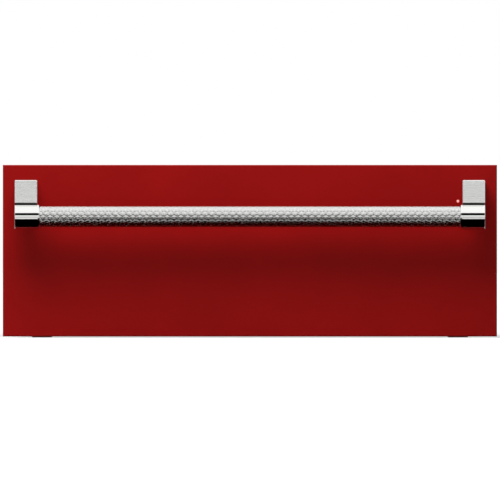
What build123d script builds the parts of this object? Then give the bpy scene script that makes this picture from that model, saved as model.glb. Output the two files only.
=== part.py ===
from build123d import *
import math
import os

# A warming drawer with a full-width red front and a round bar handle.
#
# Millimetres. x runs to the right, y to the back and z up, seen from in front of the drawer.
# While the pieces are made, the cabinet's face is the plane y = 0 and the feet stand on z = 0.
# At the end every piece moves along y, so that the whole stands centred on the origin.

# Drawer front: a folded steel pan, closed at its back by a plate
FRONT_WIDTH = 759.0            # 29 7/8 in
FRONT_HEIGHT = 263.5           # 10 3/8 in
FRONT_THICKNESS = 22.0
FRONT_LIFT = 1.5               # from the standing surface to the front's lower edge
FRONT_GAP = 7.4                # from the cabinet's face to the back of the pan
FRONT_SHEET = 1.2
FRONT_BEVEL = 1.5              # the fold round the face
FRONT_LIP = 12.0               # inward lip round the back of the pan
BACKING_SHEET = 0.9
BACKING_INSET = 1.0

# Handle, measured down from the front's upper edge and in from its sides
BAR_DIAMETER = 31.75           # 1 1/4 in
BAR_WALL = 2.0
BAR_STANDOFF = 50.0            # from the front's face to the bar's axis
BAR_DROP = 79.7
BAR_SOCKET = 30.0              # how far the bar goes into a collar
BAR_FIT = 0.05
COLLAR_DIAMETER = 39.3
COLLAR_LENGTH = 37.5
COLLAR_INSET = 19.0            # from the front's side to the collar's outer face
COLLAR_CHAMFER = 1.2
BRACKET_WIDTH = 34.1
BRACKET_DROP = 23.6            # from the front's upper edge to the bracket's top
BRACKET_FACE = 5.7             # from the bar's axis forward to the bracket's face
BRACKET_ARM = 29.0             # least height of the arm behind the collar
BRACKET_FOOT = 37.0            # height of the face on the front
BRACKET_SEAT_BACK = 14.0       # how far the seat on the collar reaches behind the bar's axis
BRACKET_BEVEL = 1.0
SEAT_FIT = 0.05
SEAT_GAP = 1.8                 # shadow gap between the post and the collar
NECK_INSET = 2.5               # the neck in that gap, from the post's sides and face
BOLT_DIAMETER = 8.0
BOLT_SIDES = 12
BOLT_HEAD = 13.0               # across the flats
BOLT_HEAD_HEIGHT = 5.3
BOLT_GRIP = 16.0               # length of the bolt in the bracket
BOLT_DROP = 17.0               # from the bracket's top to the bolt
BOLT_CLEARANCE = 0.2
BOLT_ROOM = 3.0                # room round a head in the insulation

# Indicator light, from the front's upper right corner
LAMP_INSET = 59.9
LAMP_OVER_BOX = 20.8           # from the heated box's ceiling up to the lamp
PIPE_DIAMETER = 4.0
PIPE_HEAD_HEIGHT = 0.8         # the pipe's end stands this far before the face
PIPE_END = 8.0                 # behind the cabinet's face
PIPE_FIT = 0.05
LAMP_FLATS = 5.0
LAMP_SIDES = 12
LAMP_NUT = 8.0
LAMP_LENGTH = 9.0
LAMP_GAP = 1.5                 # from the pipe's end to the lamp

# Case
SIDE_OVERLAP = 20.5            # the front passes the case by this much at each side
TOP_OVERLAP = 21.5
CASE_DEPTH = 560.0
CASE_SHEET = 1.0
CASE_FLANGE = 16.0
CASE_BEND = 2.0
FLOOR_BEAD_BEND = 1.2
FLOOR_BEAD_WIDTH = 16.0
FLOOR_BEAD_DEPTH = 3.0
FLOOR_BEADS = 3
FLOOR_BEAD_PITCH = 150.0
REAR_FLANGE = 12.0
SHEET_GAP = 0.2

# Rubber feet
FOOT_HEIGHT = 15.0
FOOT_SIDES = 16
FOOT_DIAMETER = 32.0
FOOT_TOP_DIAMETER = 38.0
FOOT_INSET_X = 39.0            # from the case's side to a foot's axis
FOOT_INSET_Y = 40.0

# Face frame, screwed to the cabinet
FRAME_SHEET = 1.2
FRAME_FLANGE = 14.0            # the frame passes the case by this much at each side
FRAME_MARGIN = 7.0             # and by this much above and below
FRAME_HOLE = 5.2
FRAME_HOLE_INSET = 7.0
FRAME_HOLE_LOW = 60.0
FRAME_HOLE_SPACING = 140.0
CROSSBAR = 13.0                # between the drawer's opening and the controls' opening
RECESS_SIDE = 4.0              # the controls' opening is this much narrower at each side
RECESS_TOP = 3.0               # from the controls' opening up to the case's top sheet

# Heated box
SIDE_CAVITY = 25.0             # from the case's outer face to the box's inner face
FLOOR_CAVITY = 18.0
CONTROL_HEIGHT = 54.0          # from the box's ceiling to the case's top sheet
REAR_CAVITY = 60.0
LINER_SHEET = 0.8
LINER_BEND = 1.5
LINER_FLANGE = 12.0
LINER_UPTURN = 10.0
BACK_INSULATION = 29.2
TOP_AIR = 14.0                 # from the insulation above the box to the case's top sheet
TRAY_INSULATION = 10.2         # thinner under the control tray
INSULATION_GAP = 1.0
INSULATION_FRONT = 3.0         # behind the cabinet's face, clear of the box's flanges

# Drawer
TUB_UNDER_CEILING = 8.0        # from the tub's rim to the ceiling
TUB_OVER_FLOOR = 18.0
TUB_BEHIND = 30.0              # from the tub's back to the box's back
TUB_SHEET = 1.0
TUB_CORNER = 12.0
TUB_BEVEL = 7.0
TUB_RIM = 6.0
RAIL_SHEET = 1.5
RAIL_WIDTH = 6.3               # from the tub's side to the slide
RAIL_BEND = 2.0
RAIL_TAB = 10.0                # tab that holds the rail to the front
GASKET_WIDTH = 8.0
GASKET_MARGIN = 2.5            # from the opening's edge to the gasket
GASKET_CORNER = 10.0
GASKET_GAP = 0.3

# Ball-bearing slides, full extension: three members and two ball retainers at each side
SLIDE_FRONT = 5.0
SLIDE_BEHIND = 30.0            # least room behind the slide
SLIDE_STEP = 50.0              # slides come in steps of this length
SLIDE_THICKNESS = 12.7
SLIDE_HEIGHT = 45.7
SLIDE_SHEET = 1.2
SLIDE_DROP = 47.0              # from the tub's rim to the slide's middle
BALL_DIAMETER = 4.0
BALL_GAP = 0.3                 # from a ball to its raceway
BALL_BLOCK = 0.93              # a ball is cut from a block this share of its diameter wide
BALL_CHAMFER = 0.272           # share of its diameter taken off the block's edges
CAGE_SHEET = 0.6
CAGE_LENGTH = 140.0
CAGE_START = 0.41              # share of the slide's length before the cage
CAGE_BALLS = 3
CAGE_CLAW = 1.2                # the cage reaches past a ball's middle by this much
CAGE_POCKET = 4.3
MIDDLE_WEB = 3.0               # from the slide's outer face to the middle member's web
RACE_INSET = 0.25              # share of the slide's spare thickness before the outer raceway
MEMBER_TURN = 0.3              # share of it that the members' bends take
INNER_RACE_ANGLE = 60.0

# Brackets that carry the slides through the insulation
STAY_SHEET = 1.5
STAY_WIDTH = 40.0
STAY_FLANGE = 12.0
STAY_PLACES = (0.13, 0.5, 0.87)   # shares of the slide's length

# Heating element below the tub
ELEMENT_DIAMETER = 7.0
ELEMENT_SIDES = 8
ELEMENT_BEND = 16.0
ELEMENT_LIFT = 7.2             # from the box's floor to the element's axis
ELEMENT_SIDE = 95.0            # from the box's side to the element
ELEMENT_FRONT = 85.0
ELEMENT_BACK = 70.0
ELEMENT_END_X = 40.0
ELEMENT_HOLE_GAP = 0.3
CLIP_WIDTH = 12.0
CLIP_LENGTH = 15.0
CLIP_SHEET = 1.5
CLIP_GAP = 0.1
TERMINAL_FLATS = 12.0
TERMINAL_LENGTH = 9.0
BLADE_WIDTH = 6.3
BLADE_SHEET = 0.8
BLADE_LENGTH = 12.0

# Temperature probe and thermal cut-out on the box's back
PROBE_DIAMETER = 6.0
PROBE_SIDES = 12
PROBE_LENGTH = 60.0
PROBE_DROP = 30.0              # from the ceiling
PROBE_STANDOFF = 11.0
PROBE_CLIP = 8.0
CUTOUT_X = 150.0
CUTOUT_DROP = 45.0
CUTOUT_DIAMETER = 16.0
CUTOUT_SIDES = 16
CUTOUT_HEIGHT = 9.0
CUTOUT_EAR_LENGTH = 34.0
CUTOUT_EAR_WIDTH = 8.0
CUTOUT_EAR_SHEET = 1.0
CUTOUT_ROOM = 4.0

# Controls in the recess above the drawer's opening
FASCIA_DEPTH = 12.0
FASCIA_SHEET = 1.0
KNOB_FROM_LAMP = 40.0
KNOB_SHARE = 0.64              # the skirt's diameter as a share of the recess's height
KNOB_STEP = 1.7                # from the skirt in to the knob's side
KNOB_SKIRT_HEIGHT = 3.0
KNOB_HEIGHT = 14.0
KNOB_GAP = 0.8                 # from the fascia to the knob
KNOB_BORE_DEPTH = 10.0
KNOB_SKIRT_SIDES = 24
KNOB_FLUTES = 12
KNOB_FLUTE = 1.0               # depth of a flute
KNOB_POINTER = 1.6
SHAFT_DIAMETER = 6.0
SHAFT_FLAT = 1.5
SHAFT_FIT = 0.05
BUSH_FLATS = 9.5
BUSH_SIDES = 12
BUSH_LENGTH = 4.0              # before the fascia's back
BUSH_CLEARANCE = 0.1
SWITCH_SIZE = 28.0
SWITCH_DEPTH = 20.0
ROCKER_FROM_LAMP = 95.0
ROCKER_LENGTH = 24.0
ROCKER_HEIGHT = 11.0
ROCKER_RISE = 3.0              # before the housing's rim
ROCKER_BODY = 7.0
ROCKER_TILT = 8.0              # each way, from level
ROCKER_PIVOT_DIAMETER = 3.0
ROCKER_PIVOT_LENGTH = 1.2
ROCKER_PIVOT_CLEARANCE = 0.1
ROCKER_SIDE_GAP = 0.4
ROCKER_END_GAP = 1.0
HOUSING_WALL = 1.5
HOUSING_RIM = 1.5
HOUSING_DEPTH = 20.0
ROCKER_WELL = 13.0             # depth of the well that the rocker tips in

# Control tray, board and wiring
TRAY_DEPTH = 90.0
TRAY_SHEET = 1.0
TRAY_BEND = 1.5
BOARD_WIDTH = 120.0
BOARD_DEPTH = 60.0
BOARD_SHEET = 1.6
BOARD_LIFT = 6.0
BOARD_INSET = 119.0            # from the case's side to the board's middle
BOARD_Y = 60.0
STANDOFF_WIDTH = 6.0
STANDOFF_INSET = 6.0
RELAY_SIZE = (19.0, 15.0, 15.0)
TRANSFORMER_SIZE = (34.0, 30.0, 22.0)
BLOCK_SIZE = (30.0, 12.0, 12.0)
WIRE_DIAMETER = 6.0
WIRE_BEND = 12.0
WIRE_OVER_INSULATION = 6.5
WIRE_RUN = 18.0                # length of the straight into the terminal block
WIRE_STEP = 16.0               # length along y of the step down to it
WIRE_HOLE_GAP = 1.0

# Cord gland in the back (no cord is modelled)
GLAND_INSET = 80.0             # from the case's side
GLAND_SHARE = 5 / 6            # drop from the case's top as a share of the controls' height
GLAND_THREAD = 19.0
GLAND_SIDES = 16
GLAND_HEX = 24.0
GLAND_HEX_HEIGHT = 5.0
GLAND_CAP = 20.0
GLAND_CAP_HEIGHT = 9.0
GLAND_BORE = 8.0
GLAND_NUT_HEIGHT = 4.0
GLAND_INSIDE = 14.0

# Louvres in the back
LOUVRE_ROWS = 5
LOUVRE_PITCH = 16.0
LOUVRE_LENGTH = 90.0
LOUVRE_SLOT = 5.0
LOUVRE_HOOD = 4.0
LOUVRE_ROOT = 0.5              # from the slot's upper edge to the hood
LOUVRE_COLUMNS = (-90.0, 90.0)
LOUVRE_LOW = 75.0              # lowest slot above the case's bottom

# Vent in the drawer's front wall, opened by a slider
VENT_SLOTS = 7
VENT_PITCH = 24.0
VENT_SLOT_WIDTH = 10.0
VENT_SLOT_HEIGHT = 14.0
VENT_DROP = 26.0               # from the tub's rim to the slots' middle
VENT_TRAVEL = 12.0
VENT_DUCT_MARGIN = 5.0
VENT_DUCT_DEPTH = 15.0
VENT_EXIT_SLOTS = 5
VENT_EXIT_PITCH = 30.0
VENT_EXIT_LENGTH = 20.0
VENT_EXIT_WIDTH = 4.0
VENT_EXIT_SETBACK = 12.0       # behind the front's face
SLIDER_SHEET = 1.2
SLIDER_HEIGHT = 24.0
SLIDER_END = 15.0              # beyond the last slot
SLIDER_GAP = 0.3
SLIDER_TAB_WIDTH = 22.0
SLIDER_TAB_HEIGHT = 10.0
SLIDER_TAB_DEPTH = 6.0
GUIDE_LIP = 3.0                # how far the guide laps the slider
GUIDE_HEIGHT = 8.0
GUIDE_SHEET = 1.0

# Worked out from the above
FRONT_BACK_Y = -FRONT_GAP
FRONT_FACE_Y = FRONT_BACK_Y - FRONT_THICKNESS
BACKING_Y = FRONT_BACK_Y + BACKING_SHEET
FRONT_TOP = FRONT_LIFT + FRONT_HEIGHT
BAR_Y = FRONT_FACE_Y - BAR_STANDOFF
BAR_Z = FRONT_TOP - BAR_DROP
COLLAR_OUTER_X = FRONT_WIDTH / 2 - COLLAR_INSET
COLLAR_INNER_X = COLLAR_OUTER_X - COLLAR_LENGTH
BRACKET_TOP = FRONT_TOP - BRACKET_DROP
BRACKET_X = COLLAR_OUTER_X - BRACKET_WIDTH / 2
BOLT_Z = BRACKET_TOP - BOLT_DROP
LAMP_X = FRONT_WIDTH / 2 - LAMP_INSET
LAMP_DROP = TOP_OVERLAP + CASE_SHEET + CONTROL_HEIGHT - LAMP_OVER_BOX
LAMP_Z = FRONT_TOP - LAMP_DROP

CASE_X = FRONT_WIDTH / 2 - SIDE_OVERLAP
CASE_BOTTOM = FOOT_HEIGHT
CASE_TOP = FRONT_TOP - TOP_OVERLAP
CASE_INNER_X = CASE_X - CASE_SHEET
CASE_FLOOR_Z = CASE_BOTTOM + CASE_SHEET
CASE_CEILING_Z = CASE_TOP - CASE_SHEET
CASE_BACK_Y = CASE_DEPTH - CASE_SHEET
LINER_X = CASE_X - SIDE_CAVITY
LINER_BOTTOM = CASE_FLOOR_Z + FLOOR_CAVITY
LINER_FLOOR_Z = LINER_BOTTOM + LINER_SHEET
LINER_TOP = CASE_CEILING_Z - CONTROL_HEIGHT
LINER_BACK_Y = CASE_DEPTH - REAR_CAVITY
RECESS_X = LINER_X - RECESS_SIDE
RECESS_Z = (LINER_TOP + CROSSBAR, CASE_CEILING_Z - RECESS_TOP)
CONTROL_Z = (RECESS_Z[0] + RECESS_Z[1]) / 2
TRAY_Z = LINER_TOP + LINER_SHEET + TRAY_INSULATION
TOP_INSULATION = CONTROL_HEIGHT - LINER_SHEET - TOP_AIR

TUB_TOP = LINER_TOP - TUB_UNDER_CEILING
TUB_BOTTOM = LINER_BOTTOM + TUB_OVER_FLOOR
TUB_BACK_Y = LINER_BACK_Y - TUB_BEHIND
RAIL_X = LINER_X - SLIDE_THICKNESS
TUB_X = RAIL_X - RAIL_WIDTH
SLIDE_Z = TUB_TOP - SLIDE_DROP
SLIDE_LENGTH = SLIDE_STEP * math.floor((LINER_BACK_Y - SLIDE_FRONT - SLIDE_BEHIND) / SLIDE_STEP)
RACE_RADIUS = BALL_DIAMETER / 2 + BALL_GAP + SLIDE_SHEET / 2      # of a member's middle line
BALL_STEP = RACE_RADIUS * math.sqrt(2)      # from the outer balls to the inner ones, along x and z
SLIDE_SPARE = SLIDE_THICKNESS - SLIDE_SHEET - RACE_RADIUS - BALL_STEP
MEMBER_BEND = MEMBER_TURN * SLIDE_SPARE
OUTER_BALL = (
    SLIDE_SHEET / 2 + RACE_RADIUS + RACE_INSET * SLIDE_SPARE,
    SLIDE_HEIGHT / 2 - SLIDE_SHEET / 2 - RACE_RADIUS,
)
INNER_BALL = (OUTER_BALL[0] + BALL_STEP, OUTER_BALL[1] - BALL_STEP)
ELEMENT_Z = LINER_FLOOR_Z + ELEMENT_LIFT
ELEMENT_X = LINER_X - ELEMENT_SIDE
ELEMENT_BACK_Y = LINER_BACK_Y - ELEMENT_BACK
KNOB_X = LAMP_X - KNOB_FROM_LAMP
KNOB_SKIRT = KNOB_SHARE * (RECESS_Z[1] - RECESS_Z[0])
KNOB_DIAMETER = KNOB_SKIRT - 2 * KNOB_STEP
ROCKER_X = LAMP_X - ROCKER_FROM_LAMP
GLAND_X = -(CASE_X - GLAND_INSET)
GLAND_DROP = GLAND_SHARE * CONTROL_HEIGHT
GLAND_Z = CASE_TOP - GLAND_DROP
BOARD_X = -(CASE_X - BOARD_INSET)
VENT_Z = TUB_TOP - VENT_DROP
VENT_X = tuple((i - (VENT_SLOTS - 1) / 2) * VENT_PITCH for i in range(VENT_SLOTS))
GLAND_BACK_Y = CASE_DEPTH + GLAND_HEX_HEIGHT + GLAND_CAP_HEIGHT
CENTRE_Y = (BAR_Y - COLLAR_DIAMETER / 2 + GLAND_BACK_Y) / 2

PIECES = {}


def keep(name, *solids):
    """Keep one or more separate solids under a piece's name."""
    PIECES[name] = list(solids)


def block(x, y, z):
    """A box between two limits on each axis."""
    size = Box(x[1] - x[0], y[1] - y[0], z[1] - z[0])
    return Pos((x[0] + x[1]) / 2, (y[0] + y[1]) / 2, (z[0] + z[1]) / 2) * size


def around(middle, size):
    """The two limits of a size laid evenly round a middle."""
    return (middle - size / 2, middle + size / 2)


def rod_x(x, y, z, diameter):
    """A round rod along x."""
    return Pos((x[0] + x[1]) / 2, y, z) * Rot(0, 90, 0) * Cylinder(diameter / 2, x[1] - x[0])


def rod_y(x, y, z, diameter):
    """A round rod along y."""
    return Pos(x, (y[0] + y[1]) / 2, z) * Rot(90, 0, 0) * Cylinder(diameter / 2, y[1] - y[0])


def rod_z(x, y, z, diameter):
    """An upright round rod."""
    return Pos(x, y, (z[0] + z[1]) / 2) * Cylinder(diameter / 2, z[1] - z[0])


def prism_y(x, y, z, flats, sides=6):
    """A regular prism along y, six-sided unless said otherwise."""
    outline = Pos(x, z) * Rot(0, 0, 180 / sides) * RegularPolygon(flats / 2, sides, major_radius=False)
    return along_y(outline, y)


def bent_strip(points, bend, sheet):
    """The section of a folded sheet, drawn on the middle of its thickness, each bend one flat."""
    line = [points[0]]
    for before, corner, after in zip(points, points[1:], points[2:]):
        for neighbour in (before, after):
            share = bend / math.dist(corner, neighbour)
            line.append(tuple(c + share * (n - c) for c, n in zip(corner, neighbour)))
    line.append(points[-1])
    return trace(Polyline(*line), sheet)


def along_y(section, y):
    """Push a section drawn in x and z from one y to another."""
    plane = Plane(origin=(0, y[1], 0), x_dir=(1, 0, 0), z_dir=(0, -1, 0))
    return extrude(plane * section, y[1] - y[0], dir=(0, -1, 0))


def along_x(section, x):
    """Push a section drawn in y and z from one x to another."""
    plane = Plane(origin=(x[0], 0, 0), x_dir=(0, 1, 0), z_dir=(1, 0, 0))
    return extrude(plane * section, x[1] - x[0], dir=(1, 0, 0))


def along_z(section, z):
    """Push a section drawn in x and y from one z to another."""
    return extrude(Plane.XY.offset(z[0]) * section, z[1] - z[0], dir=(0, 0, 1))


def mirrored(shape):
    """The same piece for the left side."""
    return mirror(shape, about=Plane.YZ)


def keep_pair(name, right):
    """Keep a piece made for the right side, and its mirror image for the left."""
    keep(name + "_right", right)
    keep(name + "_left", mirrored(right))


# ---------------------------------------------------------------- drawer front


def bolt_places():
    """Where the handle's two bolts stand along x."""
    return (-BRACKET_X, BRACKET_X)


def vent_slots(y, shift=0.0):
    """The row of vent slots, cut from one y to another."""
    return [
        block(around(x + shift, VENT_SLOT_WIDTH), y, around(VENT_Z, VENT_SLOT_HEIGHT))
        for x in VENT_X
    ]


def front_panel():
    """The red pan: a face, four folded sides and a lip round its back."""
    half = FRONT_WIDTH / 2
    wall = FRONT_SHEET
    pan = block((-half, half), (FRONT_FACE_Y, FRONT_BACK_Y), (FRONT_LIFT, FRONT_TOP))
    pan = chamfer(pan.faces().sort_by(Axis.Y)[0].edges(), FRONT_BEVEL)
    hollow = block(
        (-half + wall, half - wall),
        (FRONT_FACE_Y + wall, FRONT_BACK_Y - wall),
        (FRONT_LIFT + wall, FRONT_TOP - wall),
    )
    inset = wall + FRONT_LIP
    mouth = block(
        (-half + inset, half - inset),
        (FRONT_BACK_Y - 2 * wall, FRONT_BACK_Y + wall),
        (FRONT_LIFT + inset, FRONT_TOP - inset),
    )
    pan = pan - hollow - mouth
    through = (FRONT_FACE_Y - wall, FRONT_FACE_Y + 2 * wall)
    for x in bolt_places():
        pan = pan - rod_y(x, through, BOLT_Z, BOLT_DIAMETER + 2 * BOLT_CLEARANCE)
    pan = pan - rod_y(LAMP_X, through, LAMP_Z, PIPE_DIAMETER + 2 * PIPE_FIT)
    exit_y = around(FRONT_FACE_Y + VENT_EXIT_SETBACK, VENT_EXIT_WIDTH)
    for i in range(VENT_EXIT_SLOTS):
        x = (i - (VENT_EXIT_SLOTS - 1) / 2) * VENT_EXIT_PITCH
        pan = pan - block(around(x, VENT_EXIT_LENGTH), exit_y, (FRONT_TOP - 2 * wall, FRONT_TOP + wall))
    keep("front_panel", pan)


def front_backing():
    """The plate that closes the pan's back and carries the tub."""
    half = FRONT_WIDTH / 2 - BACKING_INSET
    y = (FRONT_BACK_Y, BACKING_Y)
    z = (FRONT_LIFT + BACKING_INSET, FRONT_TOP - BACKING_INSET)
    plate = block((-half, half), y, z) - vent_slots(y)
    plate = plate - rod_y(LAMP_X, y, LAMP_Z, PIPE_DIAMETER + 2 * PIPE_FIT)
    keep("front_backing", plate)


def front_insulation():
    """The board that fills the pan, open round the bolts, the light pipe and the vent's duct."""
    half = FRONT_WIDTH / 2 - FRONT_SHEET
    y = (FRONT_FACE_Y + FRONT_SHEET, FRONT_BACK_Y - FRONT_SHEET)
    z = (FRONT_LIFT + FRONT_SHEET, FRONT_TOP - FRONT_SHEET)
    board = block((-half, half), y, z)
    for x in bolt_places():
        room = BOLT_HEAD + 2 * BOLT_ROOM
        board = board - block(around(x, room), y, around(BOLT_Z, room))
    pipe_room = PIPE_DIAMETER + BOLT_ROOM
    board = board - block(around(LAMP_X, pipe_room), y, around(LAMP_Z, pipe_room))
    duct_half = VENT_X[-1] + VENT_SLOT_WIDTH / 2 + VENT_DUCT_MARGIN
    duct_low = VENT_Z - VENT_SLOT_HEIGHT / 2 - VENT_DUCT_MARGIN
    board = board - block((-duct_half, duct_half), (y[1] - VENT_DUCT_DEPTH, y[1]), (duct_low, z[1]))
    keep("front_insulation", board)


def light_pipe():
    """A clear rod that carries the lamp's light through the closed front."""
    keep("light_pipe", rod_y(LAMP_X, (FRONT_FACE_Y - PIPE_HEAD_HEIGHT, PIPE_END), LAMP_Z, PIPE_DIAMETER))


# ---------------------------------------------------------------- handle


def handle_bar():
    """The round tube, whose ends stand inside the collars."""
    end = COLLAR_INNER_X + BAR_SOCKET
    tube = rod_x((-end, end), BAR_Y, BAR_Z, BAR_DIAMETER)
    keep("handle_bar", tube - rod_x((-end, end), BAR_Y, BAR_Z, BAR_DIAMETER - 2 * BAR_WALL))


def handle_collars():
    """The polished rings at the bar's ends, closed at their outer faces."""
    x = (COLLAR_INNER_X, COLLAR_OUTER_X)
    ring = rod_x(x, BAR_Y, BAR_Z, COLLAR_DIAMETER)
    ring = chamfer(ring.edges().filter_by(GeomType.CIRCLE).sort_by(Axis.X)[0], COLLAR_CHAMFER)
    socket = rod_x((x[0], x[0] + BAR_SOCKET), BAR_Y, BAR_Z, BAR_DIAMETER + 2 * BAR_FIT)
    keep("handle_collars", ring - socket, mirrored(ring - socket))


def handle_bracket():
    """The post above the collar, with its arm back to the front and its hollowed underside."""
    seat = COLLAR_DIAMETER / 2 + SEAT_GAP
    face_y = BAR_Y - BRACKET_FACE
    back_y = BAR_Y + BRACKET_SEAT_BACK
    face_z = BAR_Z + math.sqrt(seat**2 - BRACKET_FACE**2)
    back_z = BAR_Z + math.sqrt(seat**2 - BRACKET_SEAT_BACK**2)
    foot_z = BRACKET_TOP - BRACKET_FOOT
    outline = [
        Line((FRONT_FACE_Y, foot_z), (FRONT_FACE_Y, BRACKET_TOP)),
        Line((FRONT_FACE_Y, BRACKET_TOP), (face_y, BRACKET_TOP)),
        Line((face_y, BRACKET_TOP), (face_y, face_z)),
        ThreePointArc((face_y, face_z), (BAR_Y, BAR_Z + seat), (back_y, back_z)),
        ThreePointArc(
            (back_y, back_z),
            ((back_y + FRONT_FACE_Y) / 2, BRACKET_TOP - BRACKET_ARM),
            (FRONT_FACE_Y, foot_z),
        ),
    ]
    post = along_x(make_face(outline), around(BRACKET_X, BRACKET_WIDTH))
    front_edges = post.faces().sort_by(Axis.Y)[0].edges()
    top_edges = post.faces().sort_by(Axis.Z)[-1].edges().filter_by(Axis.Y)
    post = chamfer(front_edges + top_edges, BRACKET_BEVEL)
    neck = block(
        around(BRACKET_X, BRACKET_WIDTH - 2 * NECK_INSET),
        (face_y + NECK_INSET, back_y),
        (BAR_Z, face_z + NECK_INSET),
    )
    collar_x = around(BRACKET_X, COLLAR_LENGTH)
    post = post + (neck - rod_x(collar_x, BAR_Y, BAR_Z, COLLAR_DIAMETER + 2 * SEAT_FIT))
    depth = (FRONT_FACE_Y - BOLT_GRIP - BOLT_CLEARANCE, FRONT_FACE_Y)
    keep_pair("handle_bracket", post - rod_y(BRACKET_X, depth, BOLT_Z, BOLT_DIAMETER + 2 * BAR_FIT))


def handle_bolts():
    """A hex bolt in each bracket, driven from inside the front."""
    inner_y = FRONT_FACE_Y + FRONT_SHEET
    shank_flats = BOLT_DIAMETER * math.cos(math.pi / BOLT_SIDES)
    bolts = []
    for x in bolt_places():
        shank = prism_y(x, (FRONT_FACE_Y - BOLT_GRIP, inner_y), BOLT_Z, shank_flats, BOLT_SIDES)
        bolts.append(shank + prism_y(x, (inner_y, inner_y + BOLT_HEAD_HEIGHT), BOLT_Z, BOLT_HEAD))
    keep("handle_bolts", *bolts)


# ---------------------------------------------------------------- case


def case_sides():
    """Side panels, each bent in at its top and bottom."""
    middle_x = CASE_X - CASE_SHEET / 2
    tip_x = CASE_X - CASE_FLANGE
    low = CASE_FLOOR_Z + CASE_SHEET / 2
    high = CASE_CEILING_Z - CASE_SHEET / 2
    points = [(tip_x, low), (middle_x, low), (middle_x, high), (tip_x, high)]
    keep_pair("casing", along_y(bent_strip(points, CASE_BEND, CASE_SHEET), (0, CASE_BACK_Y)))


def case_top():
    """The top sheet, turned down at its front behind the face frame."""
    sheet = CASE_SHEET
    plate = block((-CASE_X, CASE_X), (0, CASE_BACK_Y), (CASE_CEILING_Z, CASE_TOP))
    lip_x = CASE_X - CASE_FLANGE - SHEET_GAP
    lip_z = (RECESS_Z[1] + FASCIA_SHEET + SHEET_GAP, CASE_CEILING_Z)
    lip = block((-lip_x, lip_x), (0, sheet), lip_z)
    keep("casing_top", plate + lip)


def case_bottom():
    """The floor sheet, stiffened by beads pressed down along it."""
    middle = CASE_FLOOR_Z - CASE_SHEET / 2
    slope = FLOOR_BEAD_DEPTH
    points = [(-CASE_X, middle)]
    for i in range(FLOOR_BEADS):
        x = (i - (FLOOR_BEADS - 1) / 2) * FLOOR_BEAD_PITCH
        flat = FLOOR_BEAD_WIDTH / 2
        points += [(x - flat - slope, middle), (x - flat, middle - slope)]
        points += [(x + flat, middle - slope), (x + flat + slope, middle)]
    points.append((CASE_X, middle))
    keep("casing_bottom", along_y(bent_strip(points, FLOOR_BEAD_BEND, CASE_SHEET), (0, CASE_BACK_Y)))


def rear_panel():
    """The back sheet, with a flange inside the case, two stacks of louvres and the gland's hole."""
    y = (CASE_BACK_Y, CASE_DEPTH)
    panel = block((-CASE_X, CASE_X), y, (CASE_BOTTOM, CASE_TOP))
    outer_x = CASE_INNER_X - SHEET_GAP
    low = CASE_FLOOR_Z + CASE_SHEET + CASE_BEND
    high = CASE_CEILING_Z - CASE_SHEET - CASE_BEND
    flange_y = (CASE_BACK_Y - REAR_FLANGE, CASE_BACK_Y)
    inner_x = outer_x - CASE_SHEET
    panel = panel + block((-outer_x, outer_x), flange_y, (low, high))
    panel = panel - block((-inner_x, inner_x), flange_y, (low + CASE_SHEET, high - CASE_SHEET))
    for x in LOUVRE_COLUMNS:
        for i in range(LOUVRE_ROWS):
            z = CASE_BOTTOM + LOUVRE_LOW + i * LOUVRE_PITCH
            panel = panel - block(around(x, LOUVRE_LENGTH), y, (z, z + LOUVRE_SLOT))
            panel = panel + louvre_hood(x, z + LOUVRE_SLOT)
    keep("rear_panel", panel - prism_y(GLAND_X, y, GLAND_Z, GLAND_THREAD + 2 * PIPE_FIT, GLAND_SIDES))


def louvre_hood(x, z):
    """A sheet hood over one slot, open below and at its ends."""
    root = z + LOUVRE_ROOT
    tip = z - LOUVRE_SLOT
    back = CASE_DEPTH + LOUVRE_HOOD
    outline = Polyline(
        (CASE_DEPTH, root),
        (back, tip),
        (back, tip + CASE_SHEET),
        (CASE_DEPTH, root + 2 * CASE_SHEET),
        close=True,
    )
    return along_x(make_face(outline), around(x, LOUVRE_LENGTH))


def rubber_feet():
    """Four moulded feet, wider where they meet the case."""
    sole = RegularPolygon(FOOT_DIAMETER / 2, FOOT_SIDES)
    head = Pos(0, 0, FOOT_HEIGHT) * RegularPolygon(FOOT_TOP_DIAMETER / 2, FOOT_SIDES)
    foot = loft([sole, head], ruled=True)
    foot_x = CASE_X - FOOT_INSET_X
    foot_y = (FOOT_INSET_Y, CASE_DEPTH - FOOT_INSET_Y)
    feet = [Pos(x, y, 0) * foot for x in (-foot_x, foot_x) for y in foot_y]
    keep("rubber_feet", *feet)


def frame_holes():
    """Where the frame is screwed to the cabinet, as x and z."""
    x = CASE_X + FRAME_FLANGE - FRAME_HOLE_INSET
    return [(s * x, z) for s in (-1, 1) for z in (FRAME_HOLE_LOW, FRAME_HOLE_LOW + FRAME_HOLE_SPACING)]


def face_frame():
    """The plate round the drawer's opening and the controls' opening."""
    y = (-FRAME_SHEET, 0)
    half = CASE_X + FRAME_FLANGE
    frame = block((-half, half), y, (CASE_BOTTOM - FRAME_MARGIN, CASE_TOP + FRAME_MARGIN))
    frame = frame - block((-LINER_X, LINER_X), y, (LINER_FLOOR_Z, LINER_TOP))
    frame = frame - block((-RECESS_X, RECESS_X), y, RECESS_Z)
    for x, z in frame_holes():
        frame = frame - rod_y(x, y, z, FRAME_HOLE)
    keep("face_frame", frame)


# ---------------------------------------------------------------- heated box


def liner_sides():
    """The box's side walls, flanged outward at their front and back."""
    middle = LINER_X + LINER_SHEET / 2
    tip = LINER_X + LINER_FLANGE
    front = LINER_SHEET / 2
    back = LINER_BACK_Y - LINER_SHEET / 2
    points = [(tip, front), (middle, front), (middle, back), (tip, back)]
    wall = along_z(bent_strip(points, LINER_BEND, LINER_SHEET), (LINER_BOTTOM, LINER_TOP))
    keep_pair("liner", wall)


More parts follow.
